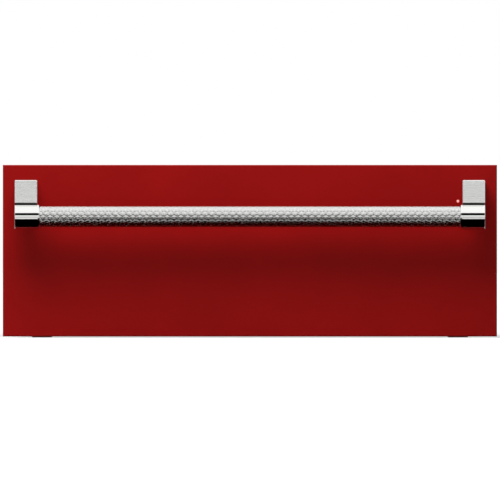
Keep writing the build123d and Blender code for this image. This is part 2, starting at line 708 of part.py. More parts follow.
def liner_floor():
    """The box's floor, turned up along its sides."""
    half = LINER_X - LINER_SHEET / 2
    middle = LINER_BOTTOM + LINER_SHEET / 2
    top = LINER_BOTTOM + LINER_UPTURN
    points = [(-half, top), (-half, middle), (half, middle), (half, top)]
    keep("liner_floor", along_y(bent_strip(points, LINER_BEND, LINER_SHEET), (0, LINER_BACK_Y)))


def liner_ceiling():
    """The box's ceiling, turned up at its front behind the crossbar."""
    middle = LINER_TOP + LINER_SHEET / 2
    front = LINER_SHEET / 2
    points = [(front, LINER_TOP + LINER_UPTURN), (front, middle), (LINER_BACK_Y, middle)]
    half = LINER_X + LINER_SHEET
    keep("liner_ceiling", along_x(bent_strip(points, LINER_BEND, LINER_SHEET), (-half, half)))


def liner_back():
    """The box's back, pierced by the two ends of the heating element."""
    half = LINER_X + LINER_FLANGE
    y = (LINER_BACK_Y, LINER_BACK_Y + LINER_SHEET)
    plate = block((-half, half), y, (LINER_BOTTOM, LINER_TOP + LINER_SHEET))
    for x in (-ELEMENT_END_X, ELEMENT_END_X):
        plate = plate - prism_y(x, y, ELEMENT_Z, ELEMENT_DIAMETER + 2 * ELEMENT_HOLE_GAP, ELEMENT_SIDES)
    keep("liner_back", plate)


def stay_places():
    """The middles of the slide brackets along y."""
    return [SLIDE_FRONT + share * SLIDE_LENGTH for share in STAY_PLACES]


def slide_brackets():
    """Hat-section brackets between the box and the case, behind the slides."""
    inner = LINER_X + LINER_SHEET + STAY_SHEET / 2
    outer = CASE_INNER_X - STAY_SHEET / 2
    z = around(SLIDE_Z, SLIDE_HEIGHT)
    brackets = []
    for y in stay_places():
        half = STAY_WIDTH / 2
        tip = half + STAY_FLANGE
        points = [(outer, y - tip), (outer, y - half), (inner, y - half)]
        points += [(inner, y + half), (outer, y + half), (outer, y + tip)]
        hat = along_z(bent_strip(points, RAIL_BEND, STAY_SHEET), z)
        brackets += [hat, mirrored(hat)]
    keep("slide_brackets", *brackets)


def insulation():
    """Mineral wool boards under, beside, behind and above the box."""
    gap = INSULATION_GAP
    case_side = CASE_INNER_X - SHEET_GAP
    floor_x = CASE_X - CASE_FLANGE - SHEET_GAP
    floor_y = (gap, CASE_BACK_Y - REAR_FLANGE - gap)
    keep("insulation_floor", block((-floor_x, floor_x), floor_y, (CASE_FLOOR_Z, LINER_BOTTOM)))

    wall_x = LINER_X + LINER_SHEET + SHEET_GAP
    wall_y = (INSULATION_FRONT, LINER_BACK_Y - INSULATION_FRONT)
    wall = block((wall_x, case_side), wall_y, (LINER_BOTTOM, LINER_TOP))
    for y in stay_places():
        room = STAY_WIDTH + 2 * STAY_FLANGE + 2 * gap
        wall = wall - block((wall_x, case_side), around(y, room), around(SLIDE_Z, SLIDE_HEIGHT + gap))
    keep("insulation_sides", wall, mirrored(wall))

    back_x = LINER_X + LINER_FLANGE
    back_y = (LINER_BACK_Y + LINER_SHEET, LINER_BACK_Y + LINER_SHEET + BACK_INSULATION)
    back = block((-back_x, back_x), back_y, (LINER_BOTTOM, LINER_TOP))
    for x in (-ELEMENT_END_X, ELEMENT_END_X):
        notch_z = (LINER_BOTTOM, ELEMENT_Z + ELEMENT_DIAMETER / 2 + gap)
        back = back - block(around(x, ELEMENT_DIAMETER + 2 * gap), back_y, notch_z)
    cutout_x = around(CUTOUT_X, CUTOUT_EAR_LENGTH + CUTOUT_ROOM)
    cutout_z = around(LINER_TOP - CUTOUT_DROP, CUTOUT_DIAMETER + CUTOUT_ROOM)
    keep("insulation_back", back - block(cutout_x, back_y, cutout_z))

    low = LINER_TOP + LINER_SHEET
    tray_back = FASCIA_DEPTH + FASCIA_SHEET + TRAY_DEPTH + gap
    outline = Polyline(
        (INSULATION_FRONT, low),
        (INSULATION_FRONT, low + TRAY_INSULATION),
        (tray_back, low + TRAY_INSULATION),
        (tray_back, low + TOP_INSULATION),
        (LINER_BACK_Y, low + TOP_INSULATION),
        (LINER_BACK_Y, low),
        close=True,
    )
    keep("insulation_top", along_x(make_face(outline), (-case_side, case_side)))


# ---------------------------------------------------------------- heating


def element_route():
    """The element's line: in from the back, round below the tub and out again."""
    end_y = LINER_BACK_Y + LINER_SHEET + BACK_INSULATION
    right = [
        (ELEMENT_END_X, end_y),
        (ELEMENT_END_X, ELEMENT_BACK_Y),
        (ELEMENT_X, ELEMENT_BACK_Y),
        (ELEMENT_X, ELEMENT_FRONT),
    ]
    left = [(-x, y) for x, y in reversed(right)]
    return FilletPolyline(*[(x, y, ELEMENT_Z) for x, y in right + left], radius=ELEMENT_BEND)


def heating_element():
    """A sheathed rod element on the box's floor."""
    route = element_route()
    start = Plane(origin=route @ 0, x_dir=(0, 0, 1), z_dir=route % 0)
    sheath = RegularPolygon(ELEMENT_DIAMETER / 2, ELEMENT_SIDES, major_radius=False)
    sheath = Rot(0, 0, 180 / ELEMENT_SIDES) * sheath
    keep("heating_element", sweep(start * sheath, path=route))


def element_clips():
    """Saddles that hold the element to the floor."""
    middle_y = (ELEMENT_FRONT + ELEMENT_BACK_Y) / 2
    hole = ELEMENT_DIAMETER + 2 * CLIP_GAP
    saddle = block(around(0, CLIP_LENGTH), around(0, CLIP_WIDTH), (0, ELEMENT_LIFT + hole / 2 + CLIP_SHEET))
    saddle = saddle - prism_y(0, around(0, CLIP_WIDTH), ELEMENT_LIFT, hole, ELEMENT_SIDES)
    clips = []
    for side in (-1, 1):
        clips.append(Pos(side * ELEMENT_X, middle_y, LINER_FLOOR_Z) * saddle)
        clips.append(Pos(side * ELEMENT_X / 2, ELEMENT_FRONT, LINER_FLOOR_Z) * Rot(0, 0, 90) * saddle)
    keep("element_clips", *clips)


def element_terminals():
    """A hex ferrule and a blade at each end of the element."""
    start = LINER_BACK_Y + LINER_SHEET + BACK_INSULATION
    end = start + TERMINAL_LENGTH
    blade_end = end + BLADE_LENGTH
    terminals = []
    for x in (-ELEMENT_END_X, ELEMENT_END_X):
        ferrule = prism_y(x, (start, end), ELEMENT_Z, TERMINAL_FLATS)
        blade = block(around(x, BLADE_WIDTH), (end, blade_end), around(ELEMENT_Z, BLADE_SHEET))
        terminals.append(ferrule + blade)
    keep("element_terminals", *terminals)


def temperature_probe():
    """A probe held off the box's back by two clips."""
    z = LINER_TOP - PROBE_DROP
    y = LINER_BACK_Y - PROBE_STANDOFF
    tip = RegularPolygon(PROBE_DIAMETER / 2, PROBE_SIDES, major_radius=False)
    probe = along_x(Pos(y, z) * tip, around(0, PROBE_LENGTH))
    for side in (-1, 1):
        x = around(side * PROBE_LENGTH / 4, PROBE_CLIP)
        probe = probe + block(x, (y, LINER_BACK_Y), around(z, PROBE_DIAMETER / 2))
    keep("temperature_probe", probe)


def thermal_cutout():
    """A disc thermostat on a strap with two ears, on the back of the box."""
    z = LINER_TOP - CUTOUT_DROP
    start = LINER_BACK_Y + LINER_SHEET
    ears_y = (start, start + CUTOUT_EAR_SHEET)
    ears = block(around(CUTOUT_X, CUTOUT_EAR_LENGTH), ears_y, around(z, CUTOUT_EAR_WIDTH))
    body_y = (start, start + CUTOUT_HEIGHT)
    keep("thermal_cutout", ears + prism_y(CUTOUT_X, body_y, z, CUTOUT_DIAMETER, CUTOUT_SIDES))


# ---------------------------------------------------------------- drawer


def drawer_tub():
    """The deep-drawn tub, with a rim along its sides and back and the vent's slots in front."""
    middle_y = (BACKING_Y + TUB_BACK_Y) / 2
    length = TUB_BACK_Y - BACKING_Y
    wall = TUB_SHEET
    outer = tub_form(middle_y, 2 * TUB_X, length, TUB_CORNER, TUB_BOTTOM, TUB_BEVEL)
    inner = tub_form(
        middle_y,
        2 * (TUB_X - wall),
        length - 2 * wall,
        TUB_CORNER - wall,
        TUB_BOTTOM + wall,
        TUB_BEVEL - wall * (2 - math.sqrt(2)),
    )
    rim_x = TUB_X + TUB_RIM
    rim = block((-rim_x, rim_x), (BACKING_Y + TUB_CORNER, TUB_BACK_Y + TUB_RIM), (TUB_TOP - wall, TUB_TOP))
    rim = chamfer(rim.edges().filter_by(Axis.Z), RAIL_BEND)
    tub = outer + rim - inner
    keep("drawer_tub", tub - vent_slots((BACKING_Y, BACKING_Y + wall)))


def tub_form(middle_y, width, length, corner, bottom, bevel):
    """A block with round upright corners and a bevelled bottom edge, up to the tub's rim."""
    form = along_z(Pos(0, middle_y) * RectangleRounded(width, length, corner), (bottom, TUB_TOP))
    return chamfer(form.faces().sort_by(Axis.Z)[0].edges(), bevel)


def drawer_rails():
    """Channels between the tub and the slides, each with a tab on the front's backing."""
    sheet = RAIL_SHEET
    middle = RAIL_X - sheet / 2
    top = TUB_TOP - TUB_SHEET - sheet / 2
    low = SLIDE_Z - SLIDE_HEIGHT / 2
    points = [(TUB_X, top), (middle, top), (middle, low), (TUB_X, low)]
    y = (BACKING_Y, SLIDE_FRONT + SLIDE_LENGTH)
    rail = along_y(bent_strip(points, RAIL_BEND, sheet), y)
    tab = block((RAIL_X - sheet, RAIL_X + RAIL_TAB), (BACKING_Y, BACKING_Y + sheet), (low, top - RAIL_BEND))
    keep_pair("drawer_rail", rail + tab)


def drawer_gasket():
    """A soft seal on the front's back, round the opening."""
    inner = GASKET_MARGIN
    outer = GASKET_MARGIN + GASKET_WIDTH
    z = (LINER_FLOOR_Z + LINER_TOP) / 2
    height = LINER_TOP - LINER_FLOOR_Z
    ring = Rectangle(2 * (LINER_X + outer), height + 2 * outer)
    ring = chamfer(ring.vertices(), GASKET_CORNER)
    hole = Rectangle(2 * (LINER_X + inner), height + 2 * inner)
    ring = ring - chamfer(hole.vertices(), GASKET_CORNER - GASKET_WIDTH * (2 - math.sqrt(2)))
    seal = along_y(Pos(0, z) * ring, (BACKING_Y, -FRAME_SHEET - GASKET_GAP))
    keep("drawer_gasket", seal)


def vent_slider():
    """A slotted plate that covers or opens the vent, with a tab for a finger."""
    y = (BACKING_Y + TUB_SHEET + SLIDER_GAP, BACKING_Y + TUB_SHEET + SLIDER_GAP + SLIDER_SHEET)
    half = VENT_X[-1] + VENT_SLOT_WIDTH / 2 + SLIDER_END
    plate = block((-half - VENT_TRAVEL, half - VENT_TRAVEL), y, around(VENT_Z, SLIDER_HEIGHT))
    plate = plate - vent_slots(y, -VENT_TRAVEL)
    slot_between = VENT_PITCH / 2 - VENT_TRAVEL
    tab_x = around(slot_between, SLIDER_TAB_WIDTH)
    tab_z = (VENT_Z + VENT_SLOT_HEIGHT / 2, VENT_Z + SLIDER_HEIGHT / 2 - GUIDE_LIP - SLIDER_GAP)
    tab = block(tab_x, (y[0], y[1] + SLIDER_TAB_DEPTH), tab_z)
    keep("vent_slider", plate + tab)


def vent_guide():
    """Two strips that lap the slider's edges and hold it to the tub."""
    wall_y = BACKING_Y + TUB_SHEET
    lip_y = wall_y + 2 * SLIDER_GAP + SLIDER_SHEET
    half = VENT_X[-1] + VENT_SLOT_WIDTH / 2 + SLIDER_END + VENT_TRAVEL
    edge = SLIDER_HEIGHT / 2 + SLIDER_GAP
    tip = SLIDER_HEIGHT / 2 - GUIDE_LIP
    strips = []
    for side in (-1, 1):
        base = sorted((VENT_Z + side * edge, VENT_Z + side * (edge + GUIDE_HEIGHT)))
        lap = sorted((VENT_Z + side * tip, VENT_Z + side * (edge + GUIDE_SHEET)))
        strip = block((-half, half), (wall_y, lip_y + GUIDE_SHEET), lap)
        strip = strip + block((-half, half), (wall_y, wall_y + GUIDE_SHEET), base)
        room = sorted((VENT_Z, VENT_Z + side * edge))
        strips.append(strip - block((-half, half), (wall_y, lip_y), room))
    keep("vent_guide", *strips)


# ---------------------------------------------------------------- slides


def arc_about(centre, radius, start, sweep_angle):
    """An arc about a centre, from one angle through another."""
    return CenterArc(centre, radius, start, sweep_angle)


def symmetric(half_line):
    """The half of a slide's section above its middle, with its mirror image below."""
    return half_line + mirror(half_line, about=Plane.XZ)


def outer_member():
    """The section's middle line: a web and a hook over the ball at each edge."""
    web = SLIDE_SHEET / 2
    ball_x, ball_z = OUTER_BALL
    line = Line((web, 0), (web, ball_z)) + arc_about((web + RACE_RADIUS, ball_z), RACE_RADIUS, 180, -90)
    line = line + Line((web + RACE_RADIUS, ball_z + RACE_RADIUS), (ball_x, ball_z + RACE_RADIUS))
    return symmetric(line + arc_about(OUTER_BALL, RACE_RADIUS, 90, -90))


def middle_member():
    """A web that cups the outer ball from below and then bends over the inner ball."""
    web = MIDDLE_WEB
    bend = MEMBER_BEND
    ball_x, ball_z = OUTER_BALL
    cup_z = ball_z - RACE_RADIUS
    line = Line((web, 0), (web, cup_z - bend)) + arc_about((web + bend, cup_z - bend), bend, 180, -90)
    line = line + Line((web + bend, cup_z), (ball_x, cup_z))
    line = line + arc_about(OUTER_BALL, RACE_RADIUS, -90, 45)
    return symmetric(line + arc_about(INNER_BALL, RACE_RADIUS, 135, -135))


def inner_member():
    """A web on the drawer's rail, turned in at each edge to carry the inner ball."""
    web = SLIDE_THICKNESS - SLIDE_SHEET / 2
    bend = MEMBER_BEND
    ball_x, ball_z = INNER_BALL
    cup_z = ball_z - RACE_RADIUS
    line = Line((web, 0), (web, cup_z - bend)) + arc_about((web - bend, cup_z - bend), bend, 0, 90)
    line = line + Line((web - bend, cup_z), (ball_x, cup_z))
    return symmetric(line + arc_about(INNER_BALL, RACE_RADIUS, -90, -INNER_RACE_ANGLE))


def place_member(section):
    """Move a section drawn from the slide's outer face to the right slide."""
    return Pos(LINER_X, SLIDE_Z) * mirror(section, about=Plane.YZ)


def slide_members():
    """Outer, middle and inner members of rolled steel, one set at each side."""
    y = (SLIDE_FRONT, SLIDE_FRONT + SLIDE_LENGTH)
    for name, line in (
        ("slide_outer", outer_member()),
        ("slide_middle", middle_member()),
        ("slide_inner", inner_member()),
    ):
        keep_pair(name, along_y(place_member(trace(line, SLIDE_SHEET)), y))


def ball():
    """A ball with few faces: a cube whose edges are taken off until its faces are even."""
    side = BALL_DIAMETER * BALL_BLOCK
    return chamfer(Box(side, side, side).edges(), BALL_DIAMETER * BALL_CHAMFER)


def ball_retainer(name, centre, web):
    """A strip with claws at both edges, and the balls that the claws hold."""
    ball_x, ball_z = centre
    sheet = CAGE_SHEET
    tip = ball_x + CAGE_CLAW
    points = [(tip, -ball_z), (web, -ball_z), (web, ball_z), (tip, ball_z)]
    start = SLIDE_FRONT + CAGE_START * SLIDE_LENGTH
    y = (start, start + CAGE_LENGTH)
    cage = along_y(place_member(bent_strip(points, sheet, sheet)), y)
    middle_x = LINER_X - ball_x
    pitch = CAGE_LENGTH / CAGE_BALLS
    balls = []
    for i in range(CAGE_BALLS):
        ball_y = start + (i + 0.5) * pitch
        for side in (-1, 1):
            z = SLIDE_Z + side * ball_z
            cut_x = (LINER_X - tip - sheet, middle_x + CAGE_POCKET / 2)
            cage = cage - block(cut_x, around(ball_y, CAGE_POCKET), around(z, 2 * sheet))
            balls.append(Pos(middle_x, ball_y, z) * ball())
    keep(name + "_right", cage, *balls)
    keep(name + "_left", *[mirrored(solid) for solid in [cage] + balls])


def slide_retainers():
    """Ball retainers between the outer and middle members, and the middle and inner ones."""
    first_gap = (SLIDE_SHEET + MIDDLE_WEB - SLIDE_SHEET / 2) / 2
    race_reach = (RACE_RADIUS + SLIDE_SHEET / 2) * math.sin(math.radians(INNER_RACE_ANGLE))
    inner_claw_x = INNER_BALL[0] - race_reach
    second_gap = (MIDDLE_WEB + SLIDE_SHEET / 2 + inner_claw_x) / 2
    ball_retainer("outer_retainer", OUTER_BALL, first_gap)
    ball_retainer("inner_retainer", INNER_BALL, second_gap)


# ---------------------------------------------------------------- controls


def control_fascia():
    """A shallow tray behind the frame, with holes for the controls."""
    sheet = FASCIA_SHEET
    back = FASCIA_DEPTH + sheet
    half = RECESS_X + sheet
    z = (RECESS_Z[0] - sheet, RECESS_Z[1] + sheet)
    tray = block((-half, half), (0, back), z) - block((-RECESS_X, RECESS_X), (0, FASCIA_DEPTH), RECESS_Z)
    web = (FASCIA_DEPTH, back)
    tray = tray - prism_y(KNOB_X, web, CONTROL_Z, BUSH_FLATS + 2 * BUSH_CLEARANCE, BUSH_SIDES)
    tray = tray - prism_y(LAMP_X, web, LAMP_Z, LAMP_FLATS + 2 * BUSH_CLEARANCE, LAMP_SIDES)
    size = housing_size()
    tray = tray - block(around(ROCKER_X, size[0]), web, around(CONTROL_Z, size[1]))
    keep("control_fascia", tray)


def selector_switch():
    """The rotary switch behind the fascia, with the bush that its shaft turns in."""
    back = FASCIA_DEPTH + FASCIA_SHEET
    body = block(around(KNOB_X, SWITCH_SIZE), (back, back + SWITCH_DEPTH), around(CONTROL_Z, SWITCH_SIZE))
    body = chamfer(body.edges().filter_by(Axis.Y), SWITCH_SIZE / 8)
    body = body + prism_y(KNOB_X, (back - BUSH_LENGTH, back), CONTROL_Z, BUSH_FLATS, BUSH_SIDES)
    shaft_y = (back - BUSH_LENGTH, back + SWITCH_DEPTH / 2)
    keep("selector_switch", body - rod_y(KNOB_X, shaft_y, CONTROL_Z, SHAFT_DIAMETER + 2 * BUSH_CLEARANCE))


def knob_front():
    """The y of the knob's face."""
    return FASCIA_DEPTH - KNOB_GAP - KNOB_HEIGHT


def selector_shaft():
    """The switch's shaft, flattened on one side inside the knob."""
    front = knob_front() + KNOB_HEIGHT - KNOB_BORE_DEPTH
    back = FASCIA_DEPTH + FASCIA_SHEET + SWITCH_DEPTH / 2 - SHAFT_FIT
    shaft = rod_y(KNOB_X, (front, back), CONTROL_Z, SHAFT_DIAMETER)
    flat_y = (front, FASCIA_DEPTH + FASCIA_SHEET - BUSH_LENGTH)
    flat_z = (CONTROL_Z + SHAFT_DIAMETER / 2 - SHAFT_FLAT, CONTROL_Z + SHAFT_DIAMETER)
    keep("selector_shaft", shaft - block(around(KNOB_X, SHAFT_DIAMETER), flat_y, flat_z))


def selector_knob():
    """A fluted knob on a skirt, with a raised pointer and a flatted bore."""
    front = knob_front()
    back = front + KNOB_HEIGHT
    rim = []
    for i in range(2 * KNOB_FLUTES):
        angle = math.radians(i * 180 / KNOB_FLUTES)
        radius = KNOB_DIAMETER / 2 - (i % 2) * KNOB_FLUTE
        rim.append((KNOB_X + radius * math.sin(angle), CONTROL_Z + radius * math.cos(angle)))
    knob = along_y(make_face(Polyline(*rim, close=True)), (front, back))
    knob = knob + prism_y(KNOB_X, (back - KNOB_SKIRT_HEIGHT, back), CONTROL_Z, KNOB_SKIRT, KNOB_SKIRT_SIDES)
    pointer_z = (CONTROL_Z + KNOB_DIAMETER / 6, CONTROL_Z + KNOB_DIAMETER / 2 - 2 * KNOB_FLUTE)
    pointer_y = (front - KNOB_POINTER / 2, front)
    knob = knob + block(around(KNOB_X, KNOB_POINTER), pointer_y, pointer_z)
    bore_y = (back - KNOB_BORE_DEPTH - SHAFT_FIT, back)
    bore = rod_y(KNOB_X, bore_y, CONTROL_Z, SHAFT_DIAMETER + 2 * SHAFT_FIT)
    flat_z = (CONTROL_Z + SHAFT_DIAMETER / 2 - SHAFT_FLAT + SHAFT_FIT, CONTROL_Z + SHAFT_DIAMETER)
    flat_y = (bore_y[0], FASCIA_DEPTH + FASCIA_SHEET - BUSH_LENGTH)
    bore = bore - block(around(KNOB_X, 2 * SHAFT_DIAMETER), flat_y, flat_z)
    bush_y = (FASCIA_DEPTH + FASCIA_SHEET - BUSH_LENGTH - SHAFT_FIT, back)
    bore = bore + prism_y(KNOB_X, bush_y, CONTROL_Z, BUSH_FLATS + 2 * ROCKER_SIDE_GAP, BUSH_SIDES)
    keep("selector_knob", knob - bore)


def housing_size():
    """The rocker switch's body, as length and height."""
    length = ROCKER_LENGTH + 2 * ROCKER_END_GAP + 2 * HOUSING_WALL
    height = ROCKER_HEIGHT + 2 * ROCKER_SIDE_GAP + 2 * HOUSING_WALL
    return length, height


def rocker_pivot_y():
    """The y of the rocker's pivot."""
    return FASCIA_DEPTH + ROCKER_BODY / 2


def switch_housing():
    """The rocker's housing: a rim on the fascia and a body behind it, with two pivot holes."""
    length, height = housing_size()
    rim_y = (FASCIA_DEPTH - HOUSING_RIM, FASCIA_DEPTH)
    body_y = (FASCIA_DEPTH, FASCIA_DEPTH + HOUSING_DEPTH)
    rim = 2 * HOUSING_RIM
    housing = block(around(ROCKER_X, length + rim), rim_y, around(CONTROL_Z, height + rim))
    housing = housing + block(
        around(ROCKER_X, length - 2 * SHEET_GAP), body_y, around(CONTROL_Z, height - 2 * SHEET_GAP)
    )
    well = block(
        around(ROCKER_X, length - 2 * HOUSING_WALL),
        (rim_y[0], body_y[0] + ROCKER_WELL),
        around(CONTROL_Z, height - 2 * HOUSING_WALL),
    )
    hole = ROCKER_PIVOT_DIAMETER + 2 * ROCKER_PIVOT_CLEARANCE
    pivot_length = ROCKER_HEIGHT + 2 * (ROCKER_PIVOT_LENGTH + ROCKER_PIVOT_CLEARANCE)
    pivot = rod_z(ROCKER_X, rocker_pivot_y(), around(CONTROL_Z, pivot_length), hole)
    keep("switch_housing", housing - well - pivot)


def power_rocker():
    """The rocker, drawn with its left end pressed in, on two short pivots."""
    half = ROCKER_LENGTH / 2
    crest = -ROCKER_BODY / 2 - ROCKER_RISE
    outline = Polyline(
        (-half, ROCKER_BODY / 2),
        (-half, crest),
        (0, crest + ROCKER_RISE / 2),
        (half, crest),
        (half, ROCKER_BODY / 2),
        close=True,
    )
    rocker = along_z(make_face(outline), around(0, ROCKER_HEIGHT))
    pivots = ROCKER_HEIGHT + 2 * ROCKER_PIVOT_LENGTH
    rocker = rocker + Cylinder(ROCKER_PIVOT_DIAMETER / 2, pivots)
    place = Pos(ROCKER_X, rocker_pivot_y(), CONTROL_Z) * Rot(0, 0, -ROCKER_TILT)
    keep("power_rocker", place * rocker)


def indicator_lamp():
    """The lamp in the fascia, which shines into the light pipe."""
    front = PIPE_END + LAMP_GAP
    back = front + LAMP_LENGTH
    lamp = prism_y(LAMP_X, (front, back), LAMP_Z, LAMP_FLATS, LAMP_SIDES)
    lamp = chamfer(lamp.faces().sort_by(Axis.Y)[0].edges(), LAMP_FLATS / 6)
    nut_y = (FASCIA_DEPTH + FASCIA_SHEET, FASCIA_DEPTH + 2 * FASCIA_SHEET)
    keep("indicator_lamp", lamp + prism_y(LAMP_X, nut_y, LAMP_Z, LAMP_NUT))


def control_tray():
    """The shelf behind the fascia, with its back wall up to the case's top."""
    start = FASCIA_DEPTH + FASCIA_SHEET + SHEET_GAP
    back = FASCIA_DEPTH + FASCIA_SHEET + TRAY_DEPTH - TRAY_SHEET / 2
    middle = TRAY_Z + TRAY_SHEET / 2
    top = CASE_CEILING_Z - CASE_SHEET - CASE_BEND
    half = CASE_INNER_X - SHEET_GAP
    section = bent_strip([(start, middle), (back, middle), (back, top)], TRAY_BEND, TRAY_SHEET)
    tray = along_x(section, (-half, half))
    wire_y = (back - TRAY_SHEET, back + TRAY_SHEET)
    notch_z = (wire_z() - WIRE_DIAMETER / 2 - WIRE_HOLE_GAP, CASE_CEILING_Z)
    notch = block(around(wire_x(), WIRE_DIAMETER + 2 * WIRE_HOLE_GAP), wire_y, notch_z)
    keep("control_tray", tray - notch)


def board_z():
    """The z of the board's upper face."""
    return TRAY_Z + TRAY_SHEET + BOARD_LIFT + BOARD_SHEET


def control_board():
    """The board on four stand-offs, with its relay, transformer and terminal block."""
    top = board_z()
    x = around(BOARD_X, BOARD_WIDTH)
    y = around(BOARD_Y, BOARD_DEPTH)
    board = block(x, y, (top - BOARD_SHEET, top))
    inset = STANDOFF_INSET
    for corner_x in (x[0] + inset, x[1] - inset):
        for corner_y in (y[0] + inset, y[1] - inset):
            leg_z = (TRAY_Z + TRAY_SHEET, top - BOARD_SHEET)
            leg = block(around(corner_x, STANDOFF_WIDTH), around(corner_y, STANDOFF_WIDTH), leg_z)
            board = board + leg
    parts = (
        (RELAY_SIZE, BOARD_X + BOARD_WIDTH / 3, BOARD_Y),
        (TRANSFORMER_SIZE, BOARD_X, BOARD_Y),
        (BLOCK_SIZE, wire_x(), BOARD_Y),
    )
    for size, part_x, part_y in parts:
        board = board + block(around(part_x, size[0]), around(part_y, size[1]), (top, top + size[2]))
    keep("control_board", board)


def wire_x():
    """The x of the supply lead over the insulation."""
    return GLAND_X


def wire_z():
    """The z of the supply lead over the insulation."""
    return LINER_TOP + LINER_SHEET + TOP_INSULATION + WIRE_OVER_INSULATION


def loom(points):
    """A six-sided bundle of leads along a line of points."""
    route = FilletPolyline(*points, radius=WIRE_BEND)
    bundle = RegularPolygon(WIRE_DIAMETER / 2, 6, major_radius=False)
    return sweep(Plane(origin=route @ 0, z_dir=route % 0) * bundle, path=route)


def wiring_harness():
    """The supply lead from the gland to the board, and the leads from the board to the switches."""
    x = wire_x()
    rise_y = LINER_BACK_Y + LINER_SHEET + BACK_INSULATION / 2
    block_y = BOARD_Y + BLOCK_SIZE[1] / 2
    block_z = board_z() + BLOCK_SIZE[2] / 2
    supply = loom([
        (x, CASE_DEPTH - GLAND_INSIDE, GLAND_Z),
        (x, rise_y, GLAND_Z),
        (x, rise_y, wire_z()),
        (x, block_y + WIRE_RUN + WIRE_STEP, wire_z()),
        (x, block_y + WIRE_RUN, block_z),
        (x, block_y, block_z),
    ])
    lead_z = board_z() + WIRE_DIAMETER
    lead_y = FASCIA_DEPTH + HOUSING_DEPTH + WIRE_BEND + WIRE_DIAMETER
    leads = loom([
        (BOARD_X + BOARD_WIDTH / 2, lead_y, lead_z),
        (ROCKER_X, lead_y, lead_z),
        (ROCKER_X, FASCIA_DEPTH + HOUSING_DEPTH, lead_z),
    ])
    keep("wiring_harness", supply, leads)


def cord_gland():
    """A cord gland through the back: a hex body, a round cap with its bore, and a locknut inside."""
    x, z = GLAND_X, GLAND_Z
    hex_back = CASE_DEPTH + GLAND_HEX_HEIGHT
    nut_y = (CASE_BACK_Y - GLAND_NUT_HEIGHT, CASE_BACK_Y)
    gland = prism_y(x, (CASE_DEPTH, hex_back), z, GLAND_HEX)
    gland = gland + prism_y(x, nut_y, z, GLAND_HEX)
    gland = gland + prism_y(x, (CASE_DEPTH - GLAND_INSIDE, CASE_DEPTH), z, GLAND_THREAD, GLAND_SIDES)
    gland = gland + prism_y(x, (hex_back, GLAND_BACK_Y), z, GLAND_CAP, GLAND_SIDES)
    keep("cord_gland", gland - rod_y(x, (CASE_DEPTH - GLAND_INSIDE, GLAND_BACK_Y), z, GLAND_BORE))


def build():
    """Make every piece."""
    for make in (
        front_panel, front_backing, front_insulation, light_pipe,
        handle_bar, handle_collars, handle_bracket, handle_bolts,
        case_sides, case_top, case_bottom, rear_panel, rubber_feet, face_frame,
        liner_sides, liner_floor, liner_ceiling, liner_back, slide_brackets, insulation,
        heating_element, element_clips, element_terminals, temperature_probe, thermal_cutout,
        drawer_tub, drawer_rails, drawer_gasket, vent_slider, vent_guide,
        slide_members, slide_retainers,
        control_fascia, selector_switch, selector_shaft, selector_knob, switch_housing, power_rocker,
        indicator_lamp, control_tray, control_board, wiring_harness, cord_gland,
    ):
        make()


def export():
    """Write each piece under its own name, centred on the origin."""
    os.makedirs("parts", exist_ok=True)
    for name, pieces in PIECES.items():
        solids = [solid for piece in pieces for solid in piece.solids()]
        moved = [Pos(0, -CENTRE_Y, 0) * solid for solid in solids]
        shape = moved[0] if len(moved) == 1 else Compound(children=moved)
        export_step(shape, os.path.join("parts", name + ".step"))


build()
export()
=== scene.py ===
import math

import bmesh
import bpy
from bpy.props import FloatProperty, FloatVectorProperty, IntProperty, PointerProperty
from mathutils import Matrix, Vector


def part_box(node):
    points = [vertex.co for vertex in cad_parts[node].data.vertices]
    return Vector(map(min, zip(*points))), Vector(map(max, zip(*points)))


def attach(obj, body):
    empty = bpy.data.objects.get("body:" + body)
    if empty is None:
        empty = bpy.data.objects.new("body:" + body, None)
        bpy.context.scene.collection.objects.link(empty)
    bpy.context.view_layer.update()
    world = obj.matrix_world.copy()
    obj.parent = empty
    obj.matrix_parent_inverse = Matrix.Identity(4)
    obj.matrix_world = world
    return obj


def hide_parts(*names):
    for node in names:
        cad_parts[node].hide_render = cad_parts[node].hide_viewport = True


bl_info = {
    "name": "Warming Drawer",
    "version": (1, 0, 0),
    "blender": (4, 5, 0),
    "location": "View3D > Sidebar > Warming Drawer",
    "description": "Finishes a warming drawer on its fixed frame and lights it on a pale floor",
    "category": "Add Mesh",
}

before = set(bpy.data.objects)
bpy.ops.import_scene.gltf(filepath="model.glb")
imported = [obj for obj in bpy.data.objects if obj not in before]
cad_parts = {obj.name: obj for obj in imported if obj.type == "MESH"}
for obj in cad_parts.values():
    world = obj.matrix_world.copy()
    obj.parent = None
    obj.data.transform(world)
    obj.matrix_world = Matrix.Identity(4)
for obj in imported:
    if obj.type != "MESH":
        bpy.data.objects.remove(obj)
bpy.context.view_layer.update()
MM = 0.001
SKIN = 0.02  # mm that a round piece stays inside the fixed one it stands for


def box(node):
    """Lowest and highest corner of a node in millimetres."""
    low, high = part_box(node)
    return low / MM, high / MM


def middle(node):
    """Middle of a node's box in millimetres."""
    low, high = box(node)
    return (low + high) / 2


def srgb(red, green, blue):
    """A colour as a screen shows it, 0 to 255, as the linear colour of a shader."""
    def channel(value):
        value = value / 255
        return value / 12.92 if value <= 0.04045 else ((value + 0.055) / 1.055) ** 2.4
    return (channel(red), channel(green), channel(blue), 1.0)


# ---------------------------------------------------------------- settings


def colour_setting(name, description, default):
    """A colour that a user can change."""
    return FloatVectorProperty(
        name=name, description=description, default=default, subtype="COLOR", size=4, min=0.0, max=1.0
    )


def length_setting(name, description, default):
    """A length in metres that a user can change."""
    return FloatProperty(
        name=name, description=description, default=default, unit="LENGTH", min=0.00001, precision=5
    )


